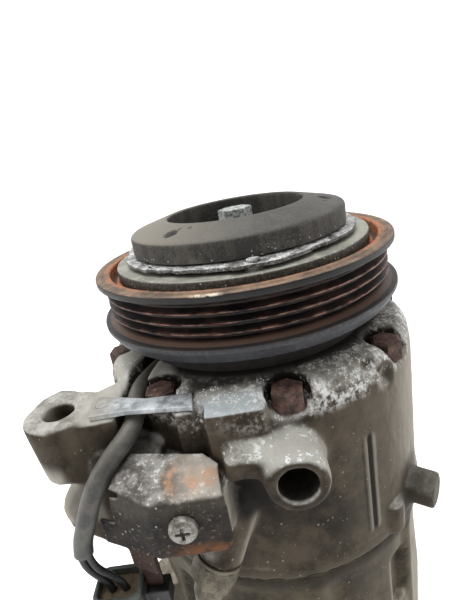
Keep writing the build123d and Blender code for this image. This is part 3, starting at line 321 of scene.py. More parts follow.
def front_skin(p, n):
    """The front casting's surface: sand-cast unevenness, and crust round the bolts."""
    rough = 0.09 * lumps(p, 7.0) + 0.03 * lumps(p, 1.7, 2) - 0.10
    for centre, reach, depth in HOLLOWS:
        gap = (p - centre).length / reach
        if gap < 1.0:
            rough -= depth * (1.0 - gap ** 2) ** 2
    aside = (p.xy - LINE_AT).length
    if LINE_Z[0] < p.z < LINE_Z[1] and aside < 4.0:
        rough += 0.55 * max(0.0, 1.0 - abs(aside - 1.6) / 1.6) - 0.8 * max(0.0, 1.0 - aside / 1.3)
    near = min((Vector((x, y)) - p.xy).length for x, y in BOLT_SPOTS)
    if p.z > BOLT_SEAT_Z and 7.0 < near < 15.0:
        rough += 0.30 * max(0.0, lumps(p, 1.3, 2)) * (1.0 - abs(near - 9.5) / 5.5)
    return rough


def rear_skin(p, n):
    return 0.07 * lumps(p, 8.0) + 0.03 * lumps(p, 2.0, 2) - 0.08


def tapered_ear(piece, reach=2.4):
    """Draws the left ear's outer wall in towards its lower face, as a casting's draft does."""
    for vertex in piece.data.vertices:
        p = vertex.co / MM
        if p.x < EAR_ROOT_X and EAR_TOP_Z - EAR_T - 1.0 < p.z < EAR_TOP_Z:
            share = min(1.0, (EAR_ROOT_X - p.x) / 14.0)
            vertex.co.x += reach * share * (EAR_TOP_Z - p.z) / EAR_T * MM
    return piece


def soft_forms(p):
    """Where the front casting's forms flow together, beside the cross hole."""
    if p.y > -56.0 or not 118.0 < p.z < 166.0 or not -24.0 < p.x < 24.0:
        return 0.0
    off_bore = math.hypot(p.x - CROSS_HOLE.x, p.z - CROSS_HOLE.z)
    return max(0.0, min(1.0, (off_bore - 7.4) / 2.5))


def rounded_corner(piece, x, z, radius):
    """Draws the cover's lower right corner in to an arc about (x, z)."""
    for vertex in piece.data.vertices:
        p = vertex.co / MM
        gap = math.hypot(p.x - x, p.z - z)
        if p.x > x and p.z < z and gap > radius:
            vertex.co.x = (x + (p.x - x) * radius / gap) * MM
            vertex.co.z = (z + (p.z - z) * radius / gap) * MM
    return piece


def bend_line(p):
    """The cover's bend, between its top and its front."""
    return 1.0 if p.y < -70.0 and 145.0 < p.z < 153.5 else 0.0


casting_front = rounded_where(softened("front_housing", "casting_front", 1.0, 13), soft_forms, 26)
casting_front = tapered_ear(roughen(casting_front, front_skin))
casting_rear = roughen(softened("rear_housing", "casting_rear", 1.1, 10), rear_skin)


# ---- pulley, hub and clutch plates ------------------------------------------------
def rim_outline():
    """The pulley's section: rear flange, four belt grooves and the front lip."""
    corners = [(52.52, RIM_BACK_Z, 0.3), (58.0, RIM_BACK_Z, 1.0), (60.7, RIM_BACK_Z + 4.3, 0.7),
               (60.7, RIM_BACK_Z + 5.8, 0.5), (58.6, RIM_BACK_Z + 6.1, 0.4)]
    for groove in reversed(range(GROOVES)):
        valley = LIP_Z - 5.4 - RIB_PITCH * groove
        corners += [(57.5, valley - 1.5, 0.25), (54.7, valley - 0.35, 0.3), (54.7, valley + 0.35, 0.3)]
        if groove:
            corners.append((57.5, valley + 1.5, 0.25))
    corners += [(57.5, LIP_Z - 3.6, 0.3), (60.3, LIP_Z - 2.5, 0.7), (60.3, LIP_Z, 0.9), (54.5, LIP_Z, 0.9)]
    corners += [(53.9, ROTOR_FACE_Z, 0.2), (52.52, ROTOR_FACE_Z, 0.1)]
    return corners


NICK_AT = Vector((29.5, -50.2, 202.2))


def rim_wear(p, n):
    dent = 0.35 * max(0.0, 1.0 - (p - NICK_AT).length / 2.6)
    return 0.025 * lumps(p, 5.0) - 0.03 - dent


rim = roughen(lathe("rim", rim_outline(), 288, 1.2), rim_wear)

CUP_T = 2.0
cup_slope = (BOWL_RIM_Z - CUP_RIM_Z) / (CUP_R - BOWL_R - CUP_T)
CUP_UNDER_Z = CUP_RIM_Z - CUP_T
CUP_OUTLINE = [
    (10.52, CUP_FLOOR_Z, 0.2), (BOWL_R + CUP_T, CUP_FLOOR_Z, 0.8),
    (BOWL_R + CUP_T, CUP_UNDER_Z + cup_slope * (CUP_R - 2 * CUP_T - BOWL_R), 0.8),
    (CUP_R - CUP_T, CUP_UNDER_Z, 0.8), (CUP_R - CUP_T, 210.0, 0.4), (CUP_R, 210.0, 0.4),
    (CUP_R, CUP_RIM_Z, 2.0), (BOWL_R, BOWL_RIM_Z, 1.3), (BOWL_R, CUP_FLOOR_Z + CUP_T, 2.4),
    (10.52, CUP_FLOOR_Z + CUP_T, 0.2),
]
PUNCH_MARKS = [(*polar(36.0, -131.0 + 120.0 * k), 2.6, 1.6) for k in range(3)]
PIN_MARKS = [(-20.2, -25.6, 0.7, 0.5), (-16.4, -27.4, 0.8, 0.6), (33.8, -13.5, 0.8, 0.5)]


def cup_wear(p, n):
    height = 0.03 * lumps(p, 6.0) - 0.03
    if p.z > CUP_RIM_Z - 1.0 and n[2] > 0.5:
        for x, y, radius, depth in PUNCH_MARKS + PIN_MARKS:
            gap = (p.xy - Vector((x, y))).length
            if gap < radius:
                height -= depth * (1.0 - (gap / radius) ** 4)
    return height


cup = roughen(lathe("cup", CUP_OUTLINE, 320, 0.8), cup_wear)


def sheet_wear(p, n):
    return 0.05 * lumps(p, 3.0) - 0.05


STOPPER_FLAT_R = 36.0
STOPPER_EDGE_R = 47.2
EDGE_STEPS = 180


def edge_step(x, y):
    """Which of the equal steps of angle a direction falls in, as a decimal number."""
    return math.atan2(y, x) / (2 * math.pi) * EDGE_STEPS


def edge_reach(shape):
    """The outline's radius in millimetres, in equal steps of angle."""
    reach = [STOPPER_FLAT_R] * EDGE_STEPS
    for vertex in shape.verts:
        turned = edge_step(vertex.co.x, vertex.co.y)
        for step in (-1, 0, 1):
            place = (round(turned) + step) % EDGE_STEPS
            reach[place] = max(reach[place], math.hypot(vertex.co.x, vertex.co.y) / MM)
    return reach


def worn_edge(piece):
    """Fills the stopper plate out between its lobes, eats into its edge and bends it slightly."""
    shape = bmesh.new()
    shape.from_mesh(piece.data)
    bmesh.ops.triangulate(shape, faces=shape.faces)
    for cuts in (2, 1):
        long_edges = [e for e in shape.edges if e.calc_length() > 1.6 * MM]
        bmesh.ops.subdivide_edges(shape, edges=long_edges, cuts=cuts)
    outline = edge_reach(shape)
    for vertex in shape.verts:
        p = vertex.co / MM
        reach = math.hypot(p.x, p.y)
        edge = outline[round(edge_step(p.x, p.y)) % EDGE_STEPS]
        if reach > STOPPER_FLAT_R and edge < STOPPER_EDGE_R:
            wanted = STOPPER_EDGE_R + 0.7 * lumps(Vector((p.x, p.y, 0.0)) * 48.0 / reach, 11.0, 2)
            share = min(1.0, (reach - STOPPER_FLAT_R) / (edge - STOPPER_FLAT_R))
            grown_by = 1.0 + share * max(0.0, wanted - edge) / reach
            vertex.co.x *= grown_by
            vertex.co.y *= grown_by
        p = vertex.co / MM
        reach = math.hypot(p.x, p.y)
        if reach > 42.0:
            share = min(1.0, (reach - 42.0) / 3.0)
            eaten = 1.0 - share * (0.006 + 0.012 * max(0.0, lumps(Vector((p.x, p.y, 0.0)), 2.4, 2)))
            vertex.co.x *= eaten
            vertex.co.y *= eaten
            vertex.co.z += share * 0.28 * lumps(Vector((p.x, p.y, 9.0)), 7.0, 2) * MM
    shape.to_mesh(piece.data)
    shape.free()
    return shade(piece, 40.0)


stopper = worn_edge(bevelled("stopper_plate", "stopper", 0.25))
armature = bevelled("armature_plate", "armature", 0.35)
rivets = bevelled("plate_rivets", "rivets", 0.4, 3)
centre_bolt = bevelled("hub_bolt", "centre_bolt", 0.35, 3)
clamp = bevelled("clamp_strap", "clamp", 0.35, 3)
cover = rounded_where(softened("cover_plate", "cover", 0.42, 12), bend_line, 60)
cover = roughen(rounded_corner(cover, -22.3, 133.5, 5.5), sheet_wear)
cover_screw = softened("cover_screw", "cover_screw_piece", 0.16, 5)
valve = bevelled("relief_valve", "valve", 0.5, 3)
valve_washer = bevelled("relief_washer", "valve_washer", 0.25)
plug = softened("connector_body", "plug", 0.34, 3)


# ---- Geometry Nodes: the long bolts, and the crust on the casting ------------------
def node_tree(name, inputs):
    """An empty geometry tree with named inputs, ending in a Group Output."""
    tree = bpy.data.node_groups.new(name, "GeometryNodeTree")
    for label, kind, default in inputs:
        socket = tree.interface.new_socket(name=label, in_out="INPUT", socket_type=kind)
        if default is not None:
            socket.default_value = default
    tree.interface.new_socket(name="Geometry", in_out="OUTPUT", socket_type="NodeSocketGeometry")
    start = tree.nodes.new("NodeGroupInput")
    end = tree.nodes.new("NodeGroupOutput")
    return tree, start, end


def add(tree, kind, values=None, **settings):
    """A node with its settings, then the values or links of its sockets."""
    node = tree.nodes.new(kind)
    for key, value in settings.items():
        setattr(node, key, value)
    for key, value in (values or {}).items():
        if isinstance(value, bpy.types.NodeSocket):
            tree.links.new(value, node.inputs[key])
        else:
            node.inputs[key].default_value = value
    return node


def grown(name, tree, values, source=None):
    """The plain mesh that a geometry tree makes, as a new piece."""
    host = new_piece(name, source.data.copy() if source else bpy.data.meshes.new(name))
    modifier = host.modifiers.new("tree", "NODES")
    modifier.node_group = tree
    for item in tree.interface.items_tree:
        if item.in_out == "INPUT" and item.name in values:
            modifier[item.identifier] = values[item.name]
    return apply_modifiers(host)


def combined(tree, operation, first, second):
    """The result of a Math node on two values or sockets."""
    return add(tree, "ShaderNodeMath", {0: first, 1: second}, operation=operation).outputs[0]


# A bolt head above its seat, in metres: flange, hexagon and the small crown on it.
FLANGE_TOP_R = 0.0053
FLANGE_T = 0.0014
HEXAGON_LIFT = 0.0035
CROWN_TOP_R = 0.0047
CROWN_T = 0.0007
CROWN_LIFT = 0.0063


def bolt_tree(finish):
    """Eight hexagon bolts on a circle, each turned a little differently."""
    tree, start, end = node_tree("long bolts", [
        ("Geometry", "NodeSocketGeometry", None), ("Circle radius", "NodeSocketFloat", 0.05),
        ("Count", "NodeSocketInt", 8), ("Seat height", "NodeSocketFloat", 0.1),
        ("Start angle", "NodeSocketFloat", 0.0), ("Head corner radius", "NodeSocketFloat", 0.005),
        ("Head height", "NodeSocketFloat", 0.006), ("Flange radius", "NodeSocketFloat", 0.006),
        ("Shank radius", "NodeSocketFloat", 0.003), ("Shank length", "NodeSocketFloat", 0.08),
    ])
    given = start.outputs
    flange = add(tree, "GeometryNodeMeshCone", {
        "Vertices": 40, "Radius Bottom": given["Flange radius"], "Radius Top": FLANGE_TOP_R,
        "Depth": FLANGE_T})
    hexagon = add(tree, "GeometryNodeMeshCylinder", {
        "Vertices": 6, "Radius": given["Head corner radius"], "Depth": given["Head height"]})
    raise_head = add(tree, "GeometryNodeTransform", {
        "Geometry": hexagon.outputs["Mesh"], "Translation": (0.0, 0.0, HEXAGON_LIFT)})
    crown = add(tree, "GeometryNodeMeshCone", {
        "Vertices": 6, "Radius Bottom": given["Head corner radius"], "Radius Top": CROWN_TOP_R,
        "Depth": CROWN_T})
    raise_crown = add(tree, "GeometryNodeTransform", {
        "Geometry": crown.outputs["Mesh"], "Translation": (0.0, 0.0, CROWN_LIFT)})
    shank = add(tree, "GeometryNodeMeshCylinder", {
        "Vertices": 20, "Radius": given["Shank radius"], "Depth": given["Shank length"]})
    down = combined(tree, "MULTIPLY", given["Shank length"], -0.5)
    along = add(tree, "ShaderNodeCombineXYZ", {"Z": down})
    lower = add(tree, "GeometryNodeTransform", {
        "Geometry": shank.outputs["Mesh"], "Translation": along.outputs[0]})
    join = add(tree, "GeometryNodeJoinGeometry")
    for part in (lower.outputs[0], raise_crown.outputs[0], raise_head.outputs[0], flange.outputs["Mesh"]):
        tree.links.new(part, join.inputs[0])
    circle = add(tree, "GeometryNodeMeshCircle", {
        "Vertices": given["Count"], "Radius": given["Circle radius"]})
    lift = add(tree, "ShaderNodeCombineXYZ", {"Z": given["Seat height"]})
    spin = add(tree, "ShaderNodeCombineXYZ", {"Z": given["Start angle"]})
    placed = add(tree, "GeometryNodeTransform", {
        "Geometry": circle.outputs["Mesh"], "Translation": lift.outputs[0], "Rotation": spin.outputs[0]})
    tightened = add(tree, "FunctionNodeRandomValue", {"Seed": 11}, data_type="FLOAT_VECTOR")
    tightened.inputs[0].default_value = (0.0, 0.0, 0.0)
    tightened.inputs[1].default_value = (0.0, 0.0, 1.05)
    copies = add(tree, "GeometryNodeInstanceOnPoints", {
        "Points": placed.outputs[0], "Instance": join.outputs[0], "Rotation": tightened.outputs[0]})
    real = add(tree, "GeometryNodeRealizeInstances", {"Geometry": copies.outputs[0]})
    dressed = add(tree, "GeometryNodeSetMaterial", {"Geometry": real.outputs[0], "Material": finish})
    tree.links.new(dressed.outputs[0], end.inputs[0])
    return tree


def crust_tree(finish):
    """Crumbs of corrosion scattered in patches over a ring of the casting's shoulder."""
    tree, start, end = node_tree("crust", [
        ("Geometry", "NodeSocketGeometry", None), ("Density", "NodeSocketFloat", 1.0e6),
        ("Low edge", "NodeSocketFloat", 0.161), ("Crumb", "NodeSocketFloat", 0.0003),
        ("Inner radius", "NodeSocketFloat", 0.046), ("Outer radius", "NodeSocketFloat", 0.068),
    ])
    given = start.outputs
    place = add(tree, "GeometryNodeInputPosition")
    axes = add(tree, "ShaderNodeSeparateXYZ", {0: place.outputs[0]})
    facing = add(tree, "GeometryNodeInputNormal")
    tilt = add(tree, "ShaderNodeSeparateXYZ", {0: facing.outputs[0]})
    high = combined(tree, "GREATER_THAN", axes.outputs["Z"], given["Low edge"])
    upward = combined(tree, "GREATER_THAN", tilt.outputs["Z"], 0.25)
    flat = add(tree, "ShaderNodeCombineXYZ", {"X": axes.outputs["X"], "Y": axes.outputs["Y"]})
    reach = add(tree, "ShaderNodeVectorMath", {0: flat.outputs[0]}, operation="LENGTH")
    outer = combined(tree, "GREATER_THAN", reach.outputs["Value"], given["Inner radius"])
    inside = combined(tree, "LESS_THAN", reach.outputs["Value"], given["Outer radius"])
    patches = add(tree, "ShaderNodeTexNoise", {"Scale": 160.0, "Detail": 3.0})
    patchy = add(tree, "ShaderNodeMapRange", {
        "Value": patches.outputs[0], "From Min": 0.53, "From Max": 0.74, "To Min": 0.0, "To Max": 1.0})
    density = given["Density"]
    for share in (high, upward, outer, inside, patchy.outputs[0]):
        density = combined(tree, "MULTIPLY", share, density)
    scatter = add(tree, "GeometryNodeDistributePointsOnFaces", {
        "Mesh": given["Geometry"], "Density": density, "Seed": 5})
    crumb = add(tree, "GeometryNodeMeshIcoSphere", {"Radius": given["Crumb"], "Subdivisions": 1})
    size = add(tree, "FunctionNodeRandomValue", {"Seed": 3}, data_type="FLOAT_VECTOR")
    size.inputs[0].default_value = (0.35, 0.35, 0.2)
    size.inputs[1].default_value = (1.3, 1.2, 0.7)
    copies = add(tree, "GeometryNodeInstanceOnPoints", {
        "Points": scatter.outputs["Points"], "Instance": crumb.outputs["Mesh"],
        "Rotation": scatter.outputs["Rotation"], "Scale": size.outputs[0]})
    real = add(tree, "GeometryNodeRealizeInstances", {"Geometry": copies.outputs[0]})
    dressed = add(tree, "GeometryNodeSetMaterial", {"Geometry": real.outputs[0], "Material": finish})
    tree.links.new(dressed.outputs[0], end.inputs[0])
    return tree


# ---- finishes ---------------------------------------------------------------------
class Value:
    """A shader socket that adds Math nodes when it is used in a sum."""

    def __init__(self, finish, socket):
        self.finish = finish
        self.socket = socket

    def maths(self, operation, first, second):
        return self.finish.node("ShaderNodeMath", {"operation": operation}, {0: first, 1: second})

    def __add__(self, other):
        return self.maths("ADD", self, other)

    def __sub__(self, other):
        return self.maths("SUBTRACT", self, other)

    def __rsub__(self, other):
        return self.maths("SUBTRACT", other, self)

    def __mul__(self, other):
        return self.maths("MULTIPLY", self, other)

    __radd__ = __add__
    __rmul__ = __mul__

    def over(self, other):
        return self.maths("MAXIMUM", self, other)

class Finish:
    """One procedural material on object coordinates."""

    def __init__(self, name, roughness=0.6, metallic=0.0, coat=0.0, specular=0.5):
        self.material = bpy.data.materials.new(name)
        self.material.use_nodes = True
        self.tree = self.material.node_tree
        self.tree.nodes.clear()
        output = self.tree.nodes.new("ShaderNodeOutputMaterial")
        self.shader = self.tree.nodes.new("ShaderNodeBsdfPrincipled")
        self.tree.links.new(self.shader.outputs[0], output.inputs[0])
        for socket, value in (("Roughness", roughness), ("Metallic", metallic), ("Coat Weight", coat),
                              ("Specular IOR Level", specular)):
            self.shader.inputs[socket].default_value = value
        self.place = self.node("ShaderNodeTexCoord", output="Object")
        axes = self.node("ShaderNodeSeparateXYZ", inputs={0: self.place}).socket.node
        self.x, self.y, self.z = (Value(self, axes.outputs[i]) * 1000.0 for i in range(3))
        normal = self.node("ShaderNodeNewGeometry", output="Normal")
        self.normal = normal
        tilt = self.node("ShaderNodeSeparateXYZ", inputs={0: normal}).socket.node
        self.nx, self.ny, self.nz = (Value(self, tilt.outputs[i]) for i in range(3))

    def node(self, kind, settings=None, inputs=None, output=0):
        made = self.tree.nodes.new(kind)
        for key, value in (settings or {}).items():
            setattr(made, key, value)
        for key, value in (inputs or {}).items():
            if isinstance(value, Value):
                self.tree.links.new(value.socket, made.inputs[key])
            else:
                made.inputs[key].default_value = value
        return Value(self, made.outputs[output])

    def drive(self, socket, value):
        self.tree.links.new(value.socket, self.shader.inputs[socket])

    def noise(self, size, detail=4.0, roughness=0.55, stretch=(1.0, 1.0, 1.0), shift=0.0):
        """Cloudy noise, 0 to 1, with features of about size millimetres."""
        place = self.node("ShaderNodeMapping", {}, {"Vector": self.place, "Scale": stretch,
                                                    "Location": (shift, shift, shift)})
        return self.node("ShaderNodeTexNoise", {}, {
            "Vector": place, "Scale": 1000.0 / size, "Detail": detail, "Roughness": roughness})

    def cells(self, size, output="Distance"):
        return self.node("ShaderNodeTexVoronoi", {}, {"Vector": self.place, "Scale": 1000.0 / size}, output)

    def step(self, value, low, high):
        """0 below low, 1 above high, smooth between."""
        return self.node("ShaderNodeMapRange", {"interpolation_type": "SMOOTHSTEP"}, {
            "Value": value, "From Min": low, "From Max": high, "To Min": 0.0, "To Max": 1.0})

    def mix(self, share, first, second):
        """From the first colour to the second: each is a value, or a display colour of 0 to 255."""
        first, second = (c if isinstance(c, Value) else linear_colour(*c) for c in (first, second))
        return self.node("ShaderNodeMix", {"data_type": "RGBA"}, {0: share, 6: first, 7: second}, 2)

    def finished(self, colour, roughness, height, reach, strength):
        """The material, with its colour, roughness and a bump of reach millimetres."""
        bent = self.node("ShaderNodeBump", {}, {
            "Height": height, "Distance": reach * MM, "Strength": strength})
        self.drive("Base Color", colour)
        self.drive("Roughness", roughness)
        self.drive("Normal", bent)
        return self.material

    def edges(self, radius):
        """1 on edges sharper than the surface round them, 0 on flats."""
        soft = self.node("ShaderNodeBevel", {"samples": 4}, {"Radius": radius * MM})
        match = self.node("ShaderNodeVectorMath", {"operation": "DOT_PRODUCT"}, {0: soft, 1: self.normal},
                          "Value")
        return self.step(1.0 - match, 0.01, 0.12)

    def hollows(self, reach):
        """1 deep in corners, 0 in the open."""
        open_share = self.node("ShaderNodeAmbientOcclusion", {"samples": 6}, {"Distance": reach * MM},
                               "AO")
        return 1.0 - open_share

    def length(self, *parts):
        """How long the vector with these two or three parts is."""
        joined = self.node("ShaderNodeCombineXYZ", {}, dict(enumerate(parts)))
        return self.node("ShaderNodeVectorMath", {"operation": "LENGTH"}, {0: joined}, "Value")

    def radius(self):
        return self.length(self.x, self.y)

    def distance(self, x, y, z):
        """How far a place in millimetres is."""
        return self.length(self.x - x, self.y - y, self.z - z)

    def specks(self, size, share):
        """Scattered small spots, 1 inside them: share sets how many cells have one."""
        spot = self.step(self.cells(size), 0.30, 0.16)
        chosen = self.node("ShaderNodeSeparateColor", {}, {0: self.cells(size, "Color")})
        return spot * self.step(chosen, 1.0 - share, 1.0 - share + 0.02)


WHITE_CRUST = (232, 233, 230)
# Dark tone for grime and painted shade in hollows.
GRIME_AND_SHADE = (46, 40, 36)


def shoulder_marks(f, colour, cloud, fine, faces_up, upper_left):
    """The colour with the shoulder's shade, bare land and corrosion, and where the corrosion is."""
    r = f.radius()
    shadowed = f.step(r, 57.0, 49.5) * f.step(f.z, 164.0, 168.0)
    front_shade = f.step(f.y, -56.0, -53.0) * f.step(f.x, -28.0, -23.0) * f.step(f.x, 13.0, 8.0)
    front_shade = front_shade * f.step(f.y, -30.0, -38.0) * f.step(f.z, 161.0, 164.0)
    colour = f.mix(shadowed.over(front_shade * 0.9) * 0.94, colour, (24, 21, 20))
    rim_band = f.step(r, 50.0, 54.5) * f.step(r, 70.0, 62.0) * f.step(f.z, 158.5, 163.5)
    colour = f.mix(upper_left * 0.75, colour, (178, 176, 166))
    patch = f.step(0.5 * fine + 0.5 * cloud, 0.49, 0.60) * rim_band * (1.0 - 0.85 * upper_left)
    patch = patch * (1.0 - 0.8 * front_shade)
    high_land = f.step(f.z, 165.0, 167.5) * f.step(f.x, -24.0, -20.0) * f.step(f.x, 0.5, -1.5)
    high_land = high_land * faces_up * f.step(f.y, -55.5, -61.0)
    colour = f.mix(high_land * 0.75, colour, (172, 181, 186))
    boss = f.step(f.distance(CROSS_HOLE.x, -70.0, 157.0), 19.0, 6.0) * f.step(f.nz, 0.15, 0.6)
    colour = f.mix(boss * 0.7, colour, (180, 178, 170))
    patch = patch.over(boss * f.step(fine * 0.7 + cloud * 0.3, 0.52, 0.60))
    ledge = f.step(f.distance(-9.0, -68.0, 156.0), 15.0, 5.0) * f.step(f.nz, 0.2, 0.6)
    patch = patch.over(ledge * f.step(fine * 0.7 + cloud * 0.3, 0.50, 0.60) * 0.8)
    colour = f.mix(patch * 0.85, colour, WHITE_CRUST)
    return colour, patch


def wall_marks(f, colour):
    """The colour with painted shadow in the wall's corner, pale wing, lug, painted shade in the bore, and
    the casting line.
    """
    off_bore = f.length(f.x - CROSS_HOLE.x, f.z - CROSS_HOLE.z)
    # Painted shadow: the pocket left of the cross hole's boss is painted near black instead of shaped.
    off_corner = f.length(f.x + 9.0, f.z - 134.5)
    pocket_shadow = f.step(off_corner, 9.5, 4.5) * f.step(off_bore, 8.6, 9.8) * f.step(f.y, -54.0, -57.0)
    colour = f.mix(pocket_shadow * f.step(f.z, 149.5, 147.0) * 0.92, colour, (20, 17, 14))
    wing = f.step(f.x, -60.0, -63.0) * f.step(f.z, 158.0, 150.0) * f.step(f.nx, 0.2, -0.2)
    colour = f.mix(wing * f.step(f.z, 128.0, 132.0) * 0.9, colour, (164, 160, 149))
    lug = f.step(f.distance(*STUB_LUG), 17.0, 11.0)
    colour = f.mix(lug * 0.7, colour, (62, 56, 48))
    # Painted shade inside the cross hole's bore.
    bore_shade = f.step(off_bore, 6.9, 6.3) * f.step(f.y, -76.4, -75.2) * f.step(f.y, -50.0, -56.0)
    colour = f.mix(bore_shade * 0.95, colour, (30, 25, 22))
    off_line = f.length(f.x - LINE_AT.x, f.y - LINE_AT.y)
    low, high = LINE_Z
    tall = f.step(f.z, low - 2.0, low + 1.0) * f.step(f.z, high + 2.0, high - 1.5)
    colour = f.mix(f.step(off_line, 1.5, 0.8) * tall * 0.85, colour, (36, 31, 27))
    colour = f.mix(f.step(off_line, 0.9, 1.6) * f.step(off_line, 3.2, 1.9) * tall * 0.5, colour,
                   (150, 145, 134))
    return colour


def casting_finish(name, wall_dark, wall_light, top_dark, top_light, crusted):
    """Cast aluminium: pale where it faces up, grimy on its walls, with white corrosion, painted light on its
    side walls and painted shade in its hollows and under the seam.
    """
    f = Finish(name, roughness=0.62, specular=0.12)
    broad = f.noise(24.0, 3.0)
    cloud = f.noise(7.0, 5.0, 0.6)
    fine = f.noise(1.6, 4.0, 0.65)
    faces_up = f.step(f.nz + 0.30 * (cloud - 0.5), 0.18, 0.66)
    wall = f.mix(f.step(0.5 * broad + 0.35 * cloud + 0.15 * fine, 0.38, 0.62), wall_dark, wall_light)
    # Painted light: walls facing sideways are painted paler, and those facing +x most of all.
    outer = f.step(f.nx.over(-1.0 * f.nx), 0.55, 0.92)
    wall = f.mix(outer * 0.4, wall, wall_light)
    wall = f.mix(f.step(f.nx, 0.15, 0.75) * 0.5, wall, (112, 104, 91))
    wall = f.mix(f.step(f.nx, 0.60, 0.95) * 0.8, wall, (164, 157, 145))
    top = f.mix(f.step(cloud * 0.6 + fine * 0.4, 0.36, 0.62), top_dark, top_light)
    colour = f.mix(faces_up, wall, top)
    stain = f.step(f.noise(11.0, 5.0, 0.7, (1.0, 1.0, 0.35), 3.0), 0.50, 0.68)
    colour = f.mix(0.5 * stain, colour, (58, 49, 41))
    edge = f.edges(1.6)
    colour = f.mix(edge * f.step(cloud, 0.30, 0.55) * (0.25 + 0.55 * faces_up), colour, (186, 183, 174))
    upper_left = f.step(f.x, -29.0, -36.0) * f.step(f.x, -66.0, -60.0)
    upper_left = upper_left * faces_up * f.step(f.z, 158.0, 163.0)
    # Painted shade with grime: hollows and corners are darkened by how enclosed they are, less on the upper
    # left top and on the block's side.
    shade_and_grime = f.step(f.hollows(9.0), 0.18, 0.70) * (1.0 - 0.55 * upper_left)
    block_side = f.step(f.x, -38.0, -33.0) * f.step(f.x, -17.0, -21.0) * f.step(f.y, -50.0, -54.0)
    shade_and_grime = shade_and_grime * (1.0 - 0.5 * block_side * f.step(f.z, 148.0, 152.0))
    colour = f.mix(shade_and_grime * 0.88, colour, GRIME_AND_SHADE)
    dust = f.specks(1.8, 0.06).over(f.specks(0.9, 0.05))
    colour = f.mix(dust * (1.0 - shade_and_grime) * 0.42, colour, (182, 178, 168))
    height = 0.5 * cloud + 0.45 * fine
    if crusted:
        colour, patch = shoulder_marks(f, colour, cloud, fine, faces_up, upper_left)
        colour = wall_marks(f, colour)
        height = height + 0.8 * patch
    else:
        # Painted shade: the rear casting is darkened just under the seam.
        shade_under_seam = f.step(f.z, 83.0, 88.0)
        colour = f.mix(shade_under_seam * 0.7, colour, wall_dark)
    return f.finished(colour, 0.46 + 0.32 * cloud, height + 0.5 * dust, 0.4, 0.8)


def rim_finish():
    """Worn black pulley: rusty lip, dark grooves with bare crests, satin rear flange."""
    f = Finish("pulley", roughness=0.42, metallic=0.35)
    cloud = f.noise(9.0, 4.0, 0.6)
    fine = f.noise(1.5, 4.0, 0.7)
    streak = f.noise(5.0, 3.0, 0.6, (1.0, 1.0, 5.0))
    r = f.radius()
    flange = f.step(f.z, 187.6, 187.1)
    crest = f.step(r, 56.6, 57.2) * f.step(f.z, 187.4, 188.0) * f.step(r, 58.6, 58.0)
    groove = f.mix(f.step(cloud, 0.42, 0.62), (20, 16, 16), (48, 34, 31))
    rusty = f.mix(f.step(streak, 0.40, 0.62), (62, 42, 38), (126, 92, 80))
    colour = f.mix(crest * f.step(cloud, 0.34, 0.52), groove, rusty)
    black = f.mix(f.step(fine, 0.45, 0.7), (46, 47, 51), (66, 66, 70))
    colour = f.mix(flange, colour, black)
    shoulder = f.step(r, 58.9, 58.3) * f.step(f.z, 186.7, 186.9) * f.step(f.z, 188.3, 187.6)
    colour = f.mix(shoulder * 0.85, colour, (104, 80, 66))
    ledge = f.step(r, 58.6, 59.2) * f.step(f.nz, 0.3, 0.8) * f.step(f.z, 189.0, 188.0)
    colour = f.mix(ledge * 0.8, colour, (44, 38, 36))
    lip_wall = f.step(f.z, 201.0, 201.6) * f.step(r, 56.0, 57.0)
    colour = f.mix(lip_wall, colour, f.mix(f.step(cloud, 0.4, 0.6), (12, 11, 11), (26, 23, 22)))
    front = f.step(f.nz, 0.45, 0.8) * f.step(f.z, 201.1, 201.5)
    inner_slope = f.step(r, 55.2, 54.6) * f.step(f.z, 201.0, 201.4)
    lip_face = front.over(inner_slope)
    tan = f.mix(f.step(cloud * 0.6 + fine * 0.4, 0.40, 0.60), (88, 73, 62), (138, 114, 94))
    orange = f.mix(f.step(fine, 0.4, 0.62), (122, 82, 58), (186, 114, 74))
    sides = f.step(f.x.over(-1.0 * f.x), 24.0, 44.0)
    inner = f.step(r, 57.0, 55.2)
    tan = f.mix(inner * f.step(cloud, 0.34, 0.50) * (0.35 + 0.65 * sides), tan, orange)
    colour = f.mix(lip_face, colour, tan)
    edge = f.edges(0.5)
    colour = f.mix(edge * f.step(streak, 0.42, 0.60) * 0.55, colour, (178, 160, 142))
    worn = f.step(f.distance(-13.0, -59.0, 204.5), 6.5, 2.5) * f.step(f.nz, 0.15, 0.5)
    worn = worn * f.step(r, 58.4, 59.6) * f.step(fine, 0.36, 0.56)
    colour = f.mix(worn * 0.85, colour, (226, 214, 194))
    f.drive("Metallic", 0.22 + 0.45 * crest)
    return f.finished(colour, (0.34 + 0.30 * cloud + 0.18 * lip_face).over(0.3),
                      0.6 * fine + 0.4 * cloud, 0.18, 0.6)


